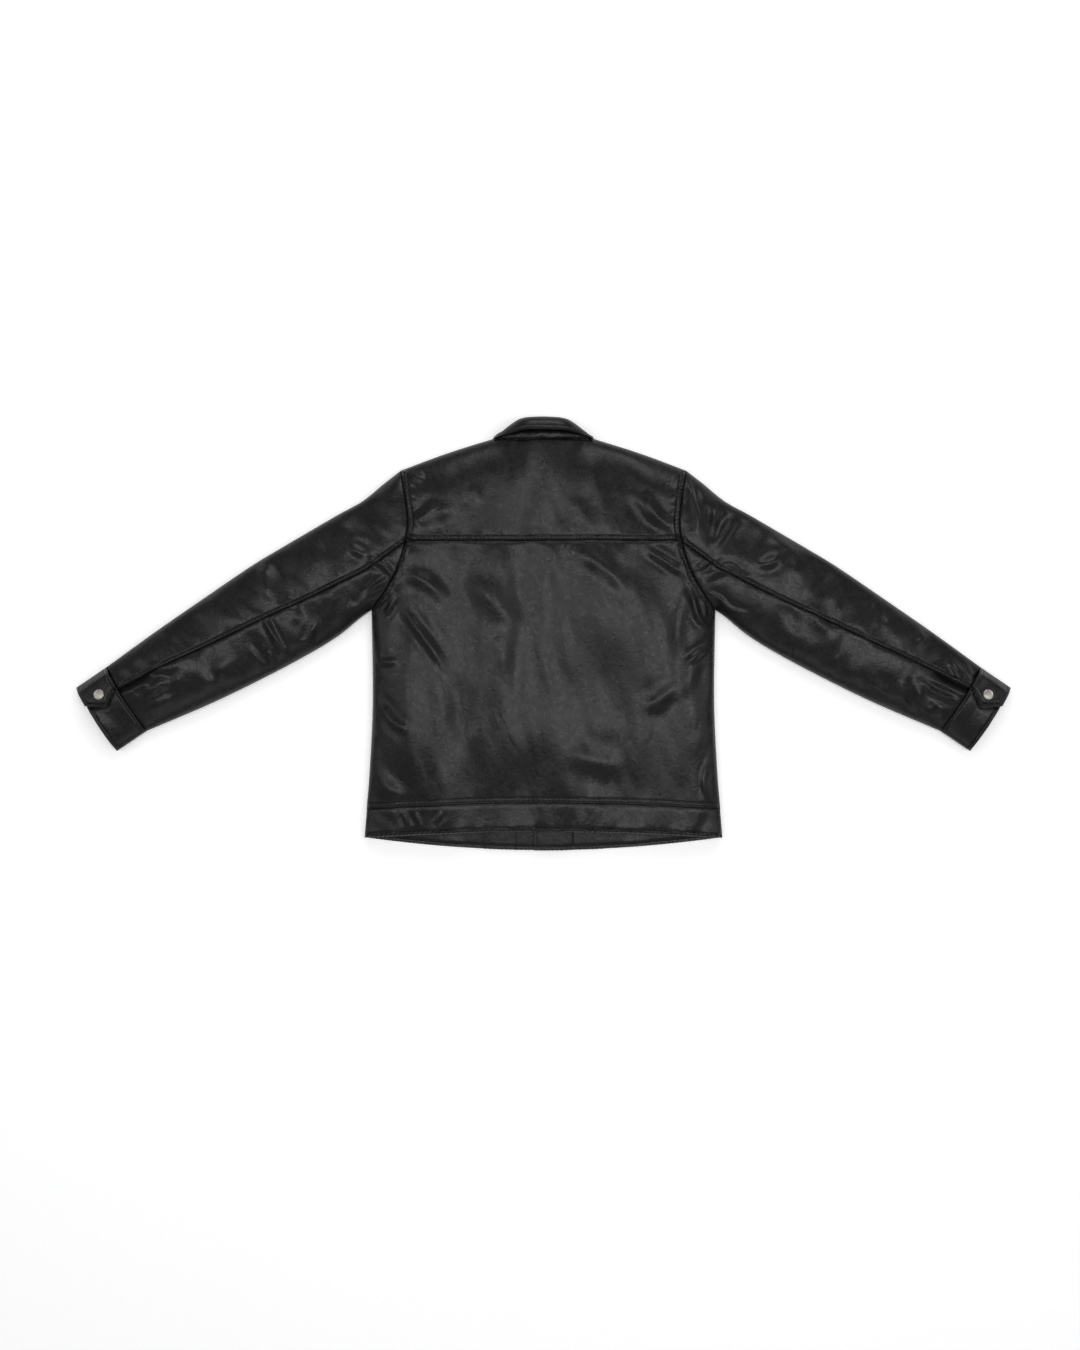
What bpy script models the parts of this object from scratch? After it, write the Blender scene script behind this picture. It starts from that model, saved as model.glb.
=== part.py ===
"""Black leather jacket with a snap front, lying face down with its sleeves spread.

Every sewn piece is a thin closed shell of its own, laid on one lying form: a domed upper side
and a flat lower side that meet at the folds.  The snaps are turned metal parts.
+X is to the right of the back, +Y runs towards the collar, +Z is up.
The helpers work in millimetres, and the meshes are written in metres.
"""

import math

import bmesh
import bpy
import numpy as np

for old in list(bpy.data.objects):
    bpy.data.objects.remove(old, do_unlink=True)

MM = 0.001

# Leather, cloth and sewing gaps
LEATHER = 1.8
BAND = 2.4
FACING = 1.0
CLOTH = 0.8
GAP = 0.35
FRONT_ARM_GAP = 1.3
BAND_GAP = 1.4
LAYER_GAP = 0.4
NECK_FACING_DROP = 3.0

# The lying form
FOLD_HEIGHT = 10.0
RISE = 33.0
REACH = 85.0
LOWER_REACH = 14.0
END_LOSS = 0.3
END_REACH = 170.0

# Front
HINGE_X = 85.0
FLAP_LIFT = 2.6
FLAP_RAMP = 20.0
OVERLAP_LIFT = 6.0
LEFT_EDGE = 18.0
RIGHT_EDGE = -16.0
FACING_WIDTH = 65.0
FRONT_HEM = -353.0
FRONT_HEM_CURVE = 21.0
FRONT_BAND = 47.0
SNAP_YS = (200.0, 96.0, -8.0, -112.0, -216.0, -329.0)

# Back
BACK_HEM = -321.0
BACK_HEM_CURVE = -11.0
BACK_BAND = 47.0
YOKE_SEAM = 153.0
SIDE_X = 294.0

# Neck and collar
NECK_X = 82.0
NECK_Y = 322.0
ROLL = ((0, 353), (24, 352.3), (38, 349.8), (48, 345), (60, 337), (72, 328.6), (82, 323))
STAND_SPAN = 0.9
LEAF_SPAN = 0.55
LEAF_SECTION = ((0.0, 1.2), (-0.4, 8.5), (-4.5, 15.5), (-10.5, 19.5), (-18.0, 21.0))

# Neck facing and hanging loop
FACING_HALF = 62.0
FACING_LOW = 252.0
FACING_CURVE = 30.0
LOOP_HALF = 32.0
LOOP_YS = (298.0, 306.0)
LOOP_SAG = 6.0

# Sleeve, cuff and its tab
SLEEVE_LENGTH = 600.0
SLEEVE_WIDTH = 130.0
FRONT_SEAM_SHARE = 0.3
CUFF_LENGTH = 60.0
CUFF_WIDTH = 123.0
TAB_SIDE = 36.0
TAB_POINT = 56.0
TAB_GAP = 3.2
TAB_ROOT = 1.0
TAB_THICKNESS = 2.2
TAB_SNAP = 34.0
UNDERLAP = 0.84

# Snaps
CAP_RADIUS = 8.5
CAP_HEIGHT = 1.6
SHAFT_RADIUS = 1.3
BORE_RADIUS = 1.8
SOCKET_RADIUS = 5.2
SOCKET_BORE = 2.1
STUD_RADIUS = 5.0
KNOB_RADIUS = 1.6
TURNS = 16

# Shares of a sleeve's width where points crowd towards a fold
FOLD_STEPS = np.array([0.0, 0.012, 0.045, 0.1, 0.18])

# Folds and seams on the right half, as points that a smooth curve runs through
SHOULDER = ((NECK_X, NECK_Y), (158, 298), (233.5, 270))
SLEEVE_TOP = ((233.5, 270), (262, 248), (297, 219.5), (335, 198.5), (372, 177), (430, 143), (482, 111.5),
              (570, 51.5), (640, 3), (716, -52))
CUFF_TOP = ((716, -52), (766, -86))
SLEEVE_UNDER = ((282, 41), (300, 28), (335, -0.5), (380, -28.5), (449, -65.5), (540, -110), (650, -157))
CUFF_UNDER = ((650, -157), (699, -190))
SIDE = ((SIDE_X, -332), (289.5, -277), (285, -220), (280, -106), (282, 41))
ARMHOLE = ((282, 41), (264.5, 62), (246.5, 90), (233.5, 119), (225.5, 147), (221.3, 171.5), (221.3, 196),
           (227, 236), (233.5, 270))
NECKLINE = ((NECK_X, NECK_Y), (77, 286), (52, 250), (18, 236))


# ---------------------------------------------------------------- curves and surfaces

def smooth(points, per_span=8):
    """Points of a Catmull-Rom curve through the given ones."""
    p = np.array(points, float)
    padded = np.vstack([2 * p[0] - p[1], p, 2 * p[-1] - p[-2]])
    out = []
    for i in range(len(p) - 1):
        a, b, c, d = padded[i:i + 4]
        for t in np.linspace(0, 1, per_span, endpoint=False):
            out.append(0.5 * (2 * b + (c - a) * t + (2 * a - 5 * b + 4 * c - d) * t ** 2
                              + (3 * b - a - 3 * c + d) * t ** 3))
    out.append(p[-1])
    return np.array(out)


def curve(points):
    """A function from 0..1 to the point at that share of the curve's length."""
    path = smooth(points)
    steps = np.r_[0, np.cumsum(np.linalg.norm(np.diff(path, axis=0), axis=1))]
    share = steps / steps[-1]

    def at(t):
        t = np.asarray(t, float)
        return np.stack([np.interp(t, share, path[:, 0]), np.interp(t, share, path[:, 1])], -1)

    return at


def chain(*parts):
    """Curves joined end to end: each part is (curve, share of the whole)."""
    ends = np.cumsum([share for _, share in parts])

    def at(t):
        t = np.asarray(t, float)
        out = np.zeros(t.shape + (2,))
        start = 0.0
        for (part, share), end in zip(parts, ends):
            inside = (t >= start - 1e-9) & (t <= end + 1e-9)
            out[inside] = part(np.clip((t[inside] - start) / share, 0, 1))
            start = end
        return out

    return at


def line(x_of, y_of):
    return lambda t: np.stack([x_of(np.asarray(t, float)), y_of(np.asarray(t, float))], -1)


def mirrored(part):
    return lambda t: part(t) * (-1, 1)


def reverse(part):
    return lambda t: part(1 - np.asarray(t, float))


def coons(bottom, top, left, right, us, vs):
    """Plan points between four curves: rows follow vs from bottom to top, columns follow us."""
    us = np.asarray(us, float)
    vs = np.asarray(vs, float)
    u = us[None, :, None]
    v = vs[:, None, None]
    b, t = bottom(us)[None], top(us)[None]
    lf, rt = left(vs)[:, None], right(vs)[:, None]
    corners = ((1 - u) * (1 - v) * bottom(0.0) + u * (1 - v) * bottom(1.0)
               + (1 - u) * v * top(0.0) + u * v * top(1.0))
    return (1 - v) * b + v * t + (1 - u) * lf + u * rt - corners


def smoothstep(low, high, x):
    t = np.clip((x - low) / (high - low), 0, 1)
    return t * t * (3 - 2 * t)


def distance(x, y, points):
    """The plan distance from each point to a line of segments."""
    p = np.stack([x, y], -1)[..., None, :]
    a, b = points[:-1], points[1:]
    run = b - a
    t = np.clip(((p - a) * run).sum(-1) / (run ** 2).sum(-1), 0, 1)
    return np.linalg.norm(p - a - t[..., None] * run, axis=-1).min(-1)


UPPER_LINE = np.vstack([smooth(SHOULDER), smooth(SLEEVE_TOP)[1:], CUFF_TOP[1:]])
LOWER_LINE = np.vstack([smooth(SIDE), smooth(SLEEVE_UNDER)[1:], CUFF_UNDER[1:]])
CUFF_END = np.array([CUFF_TOP[1], CUFF_UNDER[1]], float)


def from_fold(x, y):
    """A distance from the two folds that stays smooth half-way between them."""
    upper = distance(np.abs(x), y, UPPER_LINE)
    lower = distance(np.abs(x), y, LOWER_LINE)
    return (np.maximum(upper, 1e-4) ** -3 + np.maximum(lower, 1e-4) ** -3) ** (-1 / 3)


def crown(d, reach):
    return np.sqrt(1 - (1 - np.clip(d / reach, 0, 1)) ** 2)


def upper_height(x, y):
    """The outer surface of the side that faces up."""
    end = np.minimum(distance(np.abs(x), y, CUFF_END), np.abs(y - BACK_HEM) + 500 * (np.abs(x) > 300))
    loss = END_LOSS * (1 - smoothstep(0, END_REACH, end))
    return FOLD_HEIGHT + RISE * (1 - loss) * crown(from_fold(x, y), REACH)


def lower_height(x, y):
    """The outer surface of the side that lies on the table, without the lift of the open fronts."""
    return FOLD_HEIGHT * (1 - crown(from_fold(x, y), LOWER_REACH))


def flap_height(x, side):
    """The outer surface of a front flap: the right one steps up over the left one."""
    lift = np.full_like(x, FLAP_LIFT)
    if side > 0:
        lift = lift + OVERLAP_LIFT * (1 - smoothstep(24, 56, x))
    return lift


def side_front_height(x, y):
    ramp = FLAP_LIFT * (1 - smoothstep(HINGE_X, HINGE_X + FLAP_RAMP, np.abs(x)))
    return np.maximum(lower_height(x, y), ramp)


def back_hem(x):
    return BACK_HEM + BACK_HEM_CURVE * (x / SIDE_X) ** 2


def front_hem(x):
    return FRONT_HEM + FRONT_HEM_CURVE * (x / SIDE_X) ** 2


# ---------------------------------------------------------------- meshes

MATERIALS = {}


def material(name, colour, roughness, metallic=0.0):
    if name not in MATERIALS:
        made = bpy.data.materials.new(name)
        made.use_nodes = True
        shader = made.node_tree.nodes["Principled BSDF"]
        shader.inputs["Base Color"].default_value = (*colour, 1.0)
        shader.inputs["Roughness"].default_value = roughness
        shader.inputs["Metallic"].default_value = metallic
        made.diffuse_color = (*colour, 1.0)
        MATERIALS[name] = made
    return MATERIALS[name]


def leather():
    return material("black_leather", (0.012, 0.012, 0.013), 0.42)


def lining_cloth():
    return material("black_lining", (0.02, 0.02, 0.022), 0.7)


def nickel():
    return material("satin_nickel", (0.55, 0.53, 0.5), 0.35, 1.0)


def add_object(name, vertices, faces, finish, round_piece=False):
    mesh = bpy.data.meshes.new(name)
    mesh.from_pydata([tuple(c * MM for c in v) for v in vertices], [], faces)
    work = bmesh.new()
    work.from_mesh(mesh)
    bmesh.ops.recalc_face_normals(work, faces=work.faces)
    bmesh.ops.triangulate(work, faces=[f for f in work.faces if len(f.verts) > 4])
    work.to_mesh(mesh)
    work.free()
    mesh.materials.append(finish)
    if round_piece:
        mesh.shade_smooth()
    made = bpy.data.objects.new(name, mesh)
    bpy.context.scene.collection.objects.link(made)
    return made


def outward(grid, up, folds, seams):
    """Unit normals of a grid of points.

    At the fold vertices they are level.  Along a seam edge they keep to the seam's own plane, so
    that two shells that meet there never reach into each other.
    """
    n = np.cross(np.gradient(grid, axis=1), np.gradient(grid, axis=0))
    n /= np.linalg.norm(n, axis=-1, keepdims=True)
    if n[n.shape[0] // 2, 0, 2] * up < 0:
        n = -n
    n[folds, 2] = 0
    for edge in seams:
        points = grid[edge][:, :2]
        along = np.vstack([np.diff(points, axis=0), points[-1:] - points[-2:-1]])
        across = np.stack([-along[:, 1], along[:, 0]], -1)
        across /= np.linalg.norm(across, axis=-1, keepdims=True)
        n[edge][:, :2] -= (n[edge][:, :2] * across).sum(-1, keepdims=True) * across
    return n / np.linalg.norm(n, axis=-1, keepdims=True)


BOTTOM = (0, slice(None))
TOP = (-1, slice(None))
LEFT = (slice(None), 0)
RIGHT = (slice(None), -1)


def shell(name, grid, start, thickness, finish, up=1, folds=None, seams=(BOTTOM, TOP)):
    """A closed sheet under an outer surface, from start to start + thickness below it."""
    rows, cols = grid.shape[:2]
    if folds is None:
        folds = np.zeros((rows, cols), bool)
    n = outward(grid, up, folds, seams)
    outer = (grid - n * start).reshape(-1, 3)
    inner = (grid - n * (start + thickness)).reshape(-1, 3)
    size = rows * cols
    faces = []
    for r in range(rows - 1):
        for c in range(cols - 1):
            a = r * cols + c
            faces.append((a, a + 1, a + cols + 1, a + cols))
            faces.append((a + size, a + cols + size, a + cols + 1 + size, a + 1 + size))
    rim = [(0, c) for c in range(cols)] + [(r, cols - 1) for r in range(1, rows)]
    rim += [(rows - 1, c) for c in range(cols - 2, -1, -1)] + [(r, 0) for r in range(rows - 2, 0, -1)]
    for (r, c), (r2, c2) in zip(rim, rim[1:] + rim[:1]):
        a, b = r * cols + c, r2 * cols + c2
        faces.append((a, b, b + size, a + size))
    return add_object(name, np.vstack([outer, inner]), faces, finish)


def turned(name, profile, place, axis=(0, 0, 1), ring=False):
    """A turned solid: (radius, height) points about an axis, closed at the axis or into a ring."""
    z = np.array(axis, float) / np.linalg.norm(axis)
    x = np.cross(z, (0.0, 1.0, 0.0))
    x /= np.linalg.norm(x)
    y = np.cross(z, x)
    vertices, rings = [], []
    for radius, height in profile:
        if radius == 0:
            rings.append([len(vertices)] * TURNS)
            vertices.append(np.array(place) + z * height)
            continue
        rings.append(list(range(len(vertices), len(vertices) + TURNS)))
        for k in range(TURNS):
            angle = 2 * math.pi * k / TURNS
            arm = x * math.cos(angle) + y * math.sin(angle)
            vertices.append(np.array(place) + z * height + arm * radius)
    pairs = list(zip(rings, rings[1:]))
    if ring:
        pairs.append((rings[-1], rings[0]))
    faces = []
    for low, high in pairs:
        for k in range(TURNS):
            m = (k + 1) % TURNS
            corners = [low[k], low[m], high[m], high[k]]
            faces.append(tuple(dict.fromkeys(corners)))
    return add_object(name, vertices, faces, nickel(), round_piece=True)


def drill(target, places, axis=(0, 0, 1), reach=9.0):
    """Bores for snap shafts, cut through a shell."""
    for number, place in enumerate(places, 1):
        profile = ((0, -reach), (BORE_RADIUS, -reach), (BORE_RADIUS, reach), (0, reach))
        cutter = turned(f"{target.name}_bore_{number}", profile, place, axis)
        cutter.hide_render = True
        cutter.display_type = "WIRE"
        cut = target.modifiers.new("bore", "BOOLEAN")
        cut.operation = "DIFFERENCE"
        cut.solver = "EXACT"
        cut.object = cutter


def plan_to_grid(plan, height):
    x, y = plan[..., 0], plan[..., 1]
    return np.dstack([x, y, height(x, y)])


# ---------------------------------------------------------------- shared plan curves

ARMHOLE_CURVE = curve(ARMHOLE)
SIDE_CURVE = curve(SIDE)
SHOULDER_CURVE = curve(SHOULDER)
SLEEVE_UNDER_CURVE = curve(SLEEVE_UNDER)
SLEEVE_TOP_CURVE = curve(SLEEVE_TOP)
ARM_POINTS = smooth(ARMHOLE)
ROLL_POINTS = smooth(ROLL)


def armhole_x(y, shift):
    return np.interp(y, ARM_POINTS[:, 1], ARM_POINTS[:, 0]) + shift


def side_x(y):
    points = smooth(SIDE)
    return np.interp(y, points[:, 1], points[:, 0])


def torso_edge(low, high, armpit_share, inset):
    """The right edge of a torso panel: up the side fold to the armpit, then up the armhole."""
    def x_at(t):
        y = y_at(t)
        return np.where(y > ARMHOLE[0][1] + 1e-6, armhole_x(y, -inset), side_x(y))

    def y_at(t):
        first = low + (ARMHOLE[0][1] - low) * np.clip(t / armpit_share, 0, 1)
        rest = np.clip((t - armpit_share) / (1 - armpit_share), 0, 1)
        return first + (high - ARMHOLE[0][1]) * rest

    return line(x_at, y_at)


def edge_dense(count):
    return 0.5 - 0.5 * np.cos(np.pi * np.linspace(0, 1, count))


def flat_line(x0, x1, height):
    return line(lambda t: x0 + (x1 - x0) * t, lambda t: height(x0 + (x1 - x0) * t))


# ---------------------------------------------------------------- torso, upper side

def back_seam(x):
    return back_hem(x) + BACK_BAND


def neck_seam(x):
    return NECK_Y - 3.0 * (1 - (x / NECK_X) ** 2)


def make_back():
    half = side_x(-277.0)
    armpit = 0.7
    rows = np.r_[np.linspace(0, armpit, 7), np.linspace(armpit, 1, 5)[1:]]
    right = torso_edge(back_seam(half) + GAP, YOKE_SEAM - GAP, armpit, GAP)
    bottom = flat_line(-right(0.0)[0], right(0.0)[0], lambda x: back_seam(x) + GAP)
    top = flat_line(-right(1.0)[0], right(1.0)[0], lambda x: YOKE_SEAM - GAP + 0 * x)
    plan = coons(bottom, top, mirrored(right), right, edge_dense(17), rows)
    grid = plan_to_grid(plan, upper_height)
    folds = np.zeros(grid.shape[:2], bool)
    folds[:7, 0] = folds[:7, -1] = True
    grid[folds, 2] += GAP
    seams = (BOTTOM, TOP)
    shell("back_panel", grid, 0, LEATHER, leather(), 1, folds, seams)
    shell("back_lining", grid, LEATHER + LAYER_GAP, CLOTH, lining_cloth(), 1, folds, seams)


def make_yoke():
    shoulder = reverse(SHOULDER_CURVE)
    neck = flat_line(-NECK_X, NECK_X, neck_seam)
    low, high = YOKE_SEAM + GAP, ARMHOLE[-1][1]
    part = 0.3
    top = chain((mirrored(shoulder), part), (neck, 1 - 2 * part), (SHOULDER_CURVE, part))
    right = line(lambda t: armhole_x(low + (high - low) * t, 0), lambda t: low + (high - low) * t)
    half = right(0.0)[0]
    bottom = flat_line(-half, half, lambda x: low + 0 * x)
    us = np.r_[np.linspace(0, part, 5), np.linspace(part, 1 - part, 9)[1:-1], np.linspace(1 - part, 1, 5)]
    vs = 1 - (1 - np.linspace(0, 1, 9)) ** 1.8
    plan = coons(bottom, top, mirrored(right), right, us, vs)
    plan[..., 0] *= 1 - GAP / half
    grid = plan_to_grid(plan, upper_height)
    folds = np.zeros(grid.shape[:2], bool)
    folds[-1, np.abs(grid[-1, :, 0]) > NECK_X - 2] = True
    grid[folds, 1] -= GAP
    grid[folds, 2] = FOLD_HEIGHT + GAP
    shell("back_yoke", grid, 0, LEATHER, leather(), 1, folds, (BOTTOM, LEFT, RIGHT))


def make_neck_facing():
    """The leather half-moon inside the back neck, with the hanging loop sewn over it."""
    xs = np.linspace(-FACING_HALF, FACING_HALF, 9)
    rows = np.linspace(0, 1, 5)[:, None]
    x = np.repeat(xs[None], 5, 0)
    dip = FACING_LOW + FACING_CURVE * (xs / FACING_HALF) ** 2
    y = dip + (neck_seam(xs) - 3 - dip) * rows
    grid = np.dstack([x, y, upper_height(x, y)])
    depth = LEATHER + NECK_FACING_DROP
    shell("neck_facing", grid, depth, FACING, leather())
    loop_x = np.linspace(-LOOP_HALF, LOOP_HALF, 9)
    sag = LOOP_SAG * (1 - (loop_x / LOOP_HALF) ** 4)
    loop_y = np.array(LOOP_YS)[:, None]
    x = np.repeat(loop_x[None], 2, 0)
    y = np.repeat(loop_y, 9, 1)
    z = upper_height(x, y).min(0) - depth - FACING - 1.0 - sag
    shell("hanger_loop", np.dstack([x, y, np.repeat(z[None], 2, 0)]), 0, FACING, leather())


def make_back_band():
    rows = np.linspace(0, 1, 4)
    half_low, half_high = side_x(-326.0), side_x(-278.0)
    cols = edge_dense(17)
    plan = np.zeros((4, 17, 2))
    for r, v in enumerate(rows):
        half = half_low + (half_high - half_low) * v
        x = half * (2 * cols - 1)
        low, high = back_hem(x), back_seam(x) - GAP
        plan[r, :, 0] = x
        plan[r, :, 1] = low + (high - low) * v
    grid = plan_to_grid(plan, upper_height)
    folds = np.zeros(grid.shape[:2], bool)
    folds[:, 0] = folds[:, -1] = True
    grid[folds, 2] = FOLD_HEIGHT + GAP
    shell("back_waistband", grid, 0, BAND, leather(), 1, folds)


# ---------------------------------------------------------------- torso, lower side

def front_seam(x):
    return front_hem(x) + FRONT_BAND


def fold_dense(count):
    """Shares from 0 to 1 that crowd towards 1, where the side fold is."""
    near = 1 - np.array([0.0, 0.008, 0.022, 0.042, 0.075])[::-1]
    return np.r_[np.linspace(0, near[0], count), near[1:]]


def make_side_front(side):
    """The part of a front panel between the flap's hinge line and the side fold."""
    name = "right" if side > 0 else "left"
    inner = HINGE_X + GAP
    armpit = 0.56
    rows = np.r_[np.linspace(0, armpit, 6), np.linspace(armpit, 1, 8)[1:]]
    edge = torso_edge(front_seam(side_x(-280.0)) + GAP, ARMHOLE[-1][1], armpit, FRONT_ARM_GAP)
    shoulder = smooth(SHOULDER)
    shoulder_y = np.interp(inner, shoulder[:, 0], shoulder[:, 1]) - GAP
    tip = edge(1.0)
    hinge_low = front_seam(inner) + GAP
    left = line(lambda t: inner + 0 * t, lambda t: hinge_low + (shoulder_y - hinge_low) * t)
    bottom = flat_line(inner, edge(0.0)[0], lambda x: front_seam(x) + GAP)
    top = line(lambda t: inner + (tip[0] - inner) * t,
               lambda t: np.interp(inner + (tip[0] - inner) * t, shoulder[:, 0], shoulder[:, 1]))
    across = np.r_[0, 0.05, 0.1, fold_dense(7)[1:]]
    plan = coons(bottom, top, left, edge, across, rows)
    plan[-1, :, 1] -= GAP
    near = plan[-1:] + (plan[-2:-1] - plan[-1:]) * np.array([0.28, 0.13, 0.05])[:, None, None]
    plan = np.concatenate([plan[:-1], near, plan[-1:]])
    grid = plan_to_grid(plan, side_front_height)
    folds = np.zeros(grid.shape[:2], bool)
    folds[:6, -1] = True
    folds[-1] = True
    grid[folds, 2] = FOLD_HEIGHT - GAP
    grid[..., 0] *= side
    shell(f"front_side_{name}", grid, 0, LEATHER, leather(), -1, folds, (BOTTOM, LEFT, RIGHT))
    keep = slice(0, 6)
    shell(f"side_lining_{name}", grid[keep], LEATHER + LAYER_GAP, CLOTH, lining_cloth(), -1, folds[keep],
          (BOTTOM, LEFT))
    make_side_band(side, name, inner)


def make_side_band(side, name, inner):
    cols = np.r_[0, 0.05, 0.1, fold_dense(7)[1:]]
    rows = np.linspace(0, 1, 4)
    half_low, half_high = side_x(-326.0), side_x(-281.0)
    x = np.zeros((4, len(cols)))
    y = np.zeros_like(x)
    for r, v in enumerate(rows):
        x[r] = inner + (half_low + (half_high - half_low) * v - inner) * cols
        low, high = front_hem(x[r]), front_seam(x[r]) - BAND_GAP
        y[r] = low + (high - low) * v
    grid = np.dstack([x, y, side_front_height(x, y)])
    folds = np.zeros(grid.shape[:2], bool)
    folds[:, -1] = True
    grid[folds, 2] = FOLD_HEIGHT - GAP
    grid[..., 0] *= side
    shell(f"side_waistband_{name}", grid, 0, BAND, leather(), -1, folds, (BOTTOM, TOP, LEFT))


def neckline_y(x):
    points = smooth(NECKLINE)[::-1]
    return np.interp(np.maximum(np.abs(x), NECKLINE[-1][0]), points[:, 0], points[:, 1])


def flap_columns(side):
    """x across a flap, from its front edge to the hinge line."""
    edge = RIGHT_EDGE if side > 0 else -LEFT_EDGE
    return np.linspace(edge, HINGE_X - GAP, 13)


def make_flap(side):
    """One opening front: panel, facing, waistband end and collar point."""
    name = "right" if side > 0 else "left"
    x = flap_columns(side)
    low = front_seam(x) + GAP
    high = neckline_y(x)
    high[-1] = NECK_Y - 3.0
    rows = np.r_[np.linspace(0, 0.8, 6), 0.9, 1.0][:, None]
    ys = low + (high - low) * rows
    xs = np.repeat(x[None], len(rows), 0)
    grid = np.dstack([xs * side, ys, flap_height(xs, side)])
    panel = shell(f"front_{name}", grid, 0, LEATHER, leather(), -1)
    drill(panel, [(0, y, 5) for y in SNAP_YS[:-1]])

    inner = x[0] + FACING_WIDTH
    wide = np.linspace(x[0], inner, 9)
    start = front_seam(wide) + GAP
    end = neckline_y(wide) - 2.0
    ys = start + (end - start) * rows
    xs = np.repeat(wide[None], len(rows), 0)
    grid = np.dstack([xs * side, ys, flap_height(xs, side)])
    facing = shell(f"facing_{name}", grid, LEATHER + LAYER_GAP, FACING, leather(), -1)
    drill(facing, [(0, y, 5) for y in SNAP_YS[:-1]])

    rows = np.linspace(0, 1, 3)[:, None]
    ys = front_hem(x) + (front_seam(x) - GAP - front_hem(x)) * rows
    xs = np.repeat(x[None], 3, 0)
    grid = np.dstack([xs * side, ys, flap_height(xs, side)])
    band = shell(f"waistband_end_{name}", grid, 0, LEATHER + LAYER_GAP + FACING, leather(), -1)
    drill(band, [(0, SNAP_YS[-1], 5)])
    make_collar_point(side, name)


def make_collar_point(side, name):
    """The front half of the collar, folded flat under the flap, ending in its point."""
    inner = np.array([(8.0, 232.0), (40.0, 240.0), (64.0, 262.0), (76.0, 290.0), (80.0, 314.0)])
    outer = np.array([(52.0, 158.0), (60.0, 184.0), (68.0, 212.0), (76.0, 245.0), (83.0, 280.0)])
    rows = np.linspace(0, 1, 4)[:, None, None]
    plan = inner[None] + (outer[None] - inner[None]) * rows
    grid = np.dstack([plan[..., 0] * side, plan[..., 1], np.zeros(plan.shape[:2])])
    shell(f"collar_point_{name}", grid, 0, FLAP_LIFT - LAYER_GAP, leather(), -1)


# ---------------------------------------------------------------- collar

def roll_line(x):
    """The edge where the collar turns over, as (y, z) above each x."""
    share = np.abs(x) / NECK_X
    y = np.interp(np.abs(x), ROLL_POINTS[:, 0], ROLL_POINTS[:, 1])
    z = upper_height(x, neck_seam(x)) + 2.0 * (1 - share)
    return y, z


def make_collar():
    x = np.linspace(-STAND_SPAN, STAND_SPAN, 15) * NECK_X
    roll_y, roll_z = roll_line(x)
    seam_y = neck_seam(x) + GAP
    seam_z = upper_height(x, neck_seam(x))
    rows = np.linspace(0, 1, 4)[:, None]
    grid = np.dstack([np.repeat(x[None], 4, 0), seam_y + (roll_y - seam_y) * rows,
                      seam_z + (roll_z - seam_z) * rows])
    shell("collar_stand", grid, 0, BAND, leather())

    x = np.linspace(-LEAF_SPAN, LEAF_SPAN, 13) * NECK_X
    roll_y, roll_z = roll_line(x)
    taper = 1 - 0.35 * (np.abs(x) / (LEAF_SPAN * NECK_X)) ** 3
    layers = []
    for dy, dz in LEAF_SECTION:
        layers.append(np.stack([x, roll_y + dy * taper, roll_z + LEAF_SECTION[0][1]
                                + (dz - LEAF_SECTION[0][1]) * taper], -1))
    shell("collar_leaf", np.stack(layers), 0, BAND, leather(), 1, seams=())


# ---------------------------------------------------------------- sleeves

def back_seam_share(s):
    """Where the lengthwise back seam runs, as a share of the sleeve's width from the underarm."""
    return 0.505 + 0.155 * s ** 2


def perimeter(start_v, end_v, fold):
    """Steps round the sleeve's section, from a seam on the upper side over a fold to the lower
    side's seam: (share, is upper).  The fold is at share 0, the underarm, or 1, the top."""
    inward = FOLD_STEPS if fold == 0 else 1 - FOLD_STEPS
    steps = [(v, True) for v in np.linspace(start_v, inward[-1], 4)[:-1]]
    steps += [(v, True) for v in inward[::-1]]
    steps += [(v, False) for v in inward[1:]]
    steps += [(v, False) for v in np.linspace(inward[-1], end_v, 4)[1:]]
    return steps


def sleeve_plan(s, v):
    """The plan point of the sleeve at s from armhole to cuff seam and v from underarm to top."""
    start = ARMHOLE_CURVE(v) + (GAP, 0)
    cuff_low, cuff_high = np.array(SLEEVE_UNDER[-1], float), np.array(SLEEVE_TOP[-1], float)
    end = cuff_low + (cuff_high - cuff_low) * v
    low, high = SLEEVE_UNDER_CURVE(s), SLEEVE_TOP_CURVE(s)
    a, b = np.array(SLEEVE_UNDER[0], float) + (GAP, 0), np.array(SLEEVE_TOP[0], float) + (GAP, 0)
    low = low + (GAP * (1 - s), 0)
    high = high + (GAP * (1 - s), 0)
    corners = (1 - v) * (1 - s) * a + v * (1 - s) * b + (1 - v) * s * cuff_low + v * s * cuff_high
    return (1 - s) * start + s * end + (1 - v) * low + v * high - corners


def wrapped_grid(side, rows):
    """Points of a piece that wraps round a fold: each row lists (plan point, is upper)."""
    grid = []
    for row in rows:
        points = []
        for (x, y), is_upper in row:
            height = upper_height if is_upper else lower_height
            points.append((x * side, y, float(height(np.array(x), np.array(y)))))
        grid.append(points)
    return np.array(grid)


def sleeve_grid(side, start, end, fold, last_s):
    """A wrapped panel of the sleeve between two seams, which may wander along its length."""
    rows = []
    for s in np.r_[0, 0.04, 0.1, np.linspace(0.2, 1, 8)] * last_s:
        rows.append([(sleeve_plan(s, v), is_upper) for v, is_upper in perimeter(start(s), end(s), fold)])
    return wrapped_grid(side, rows)


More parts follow.
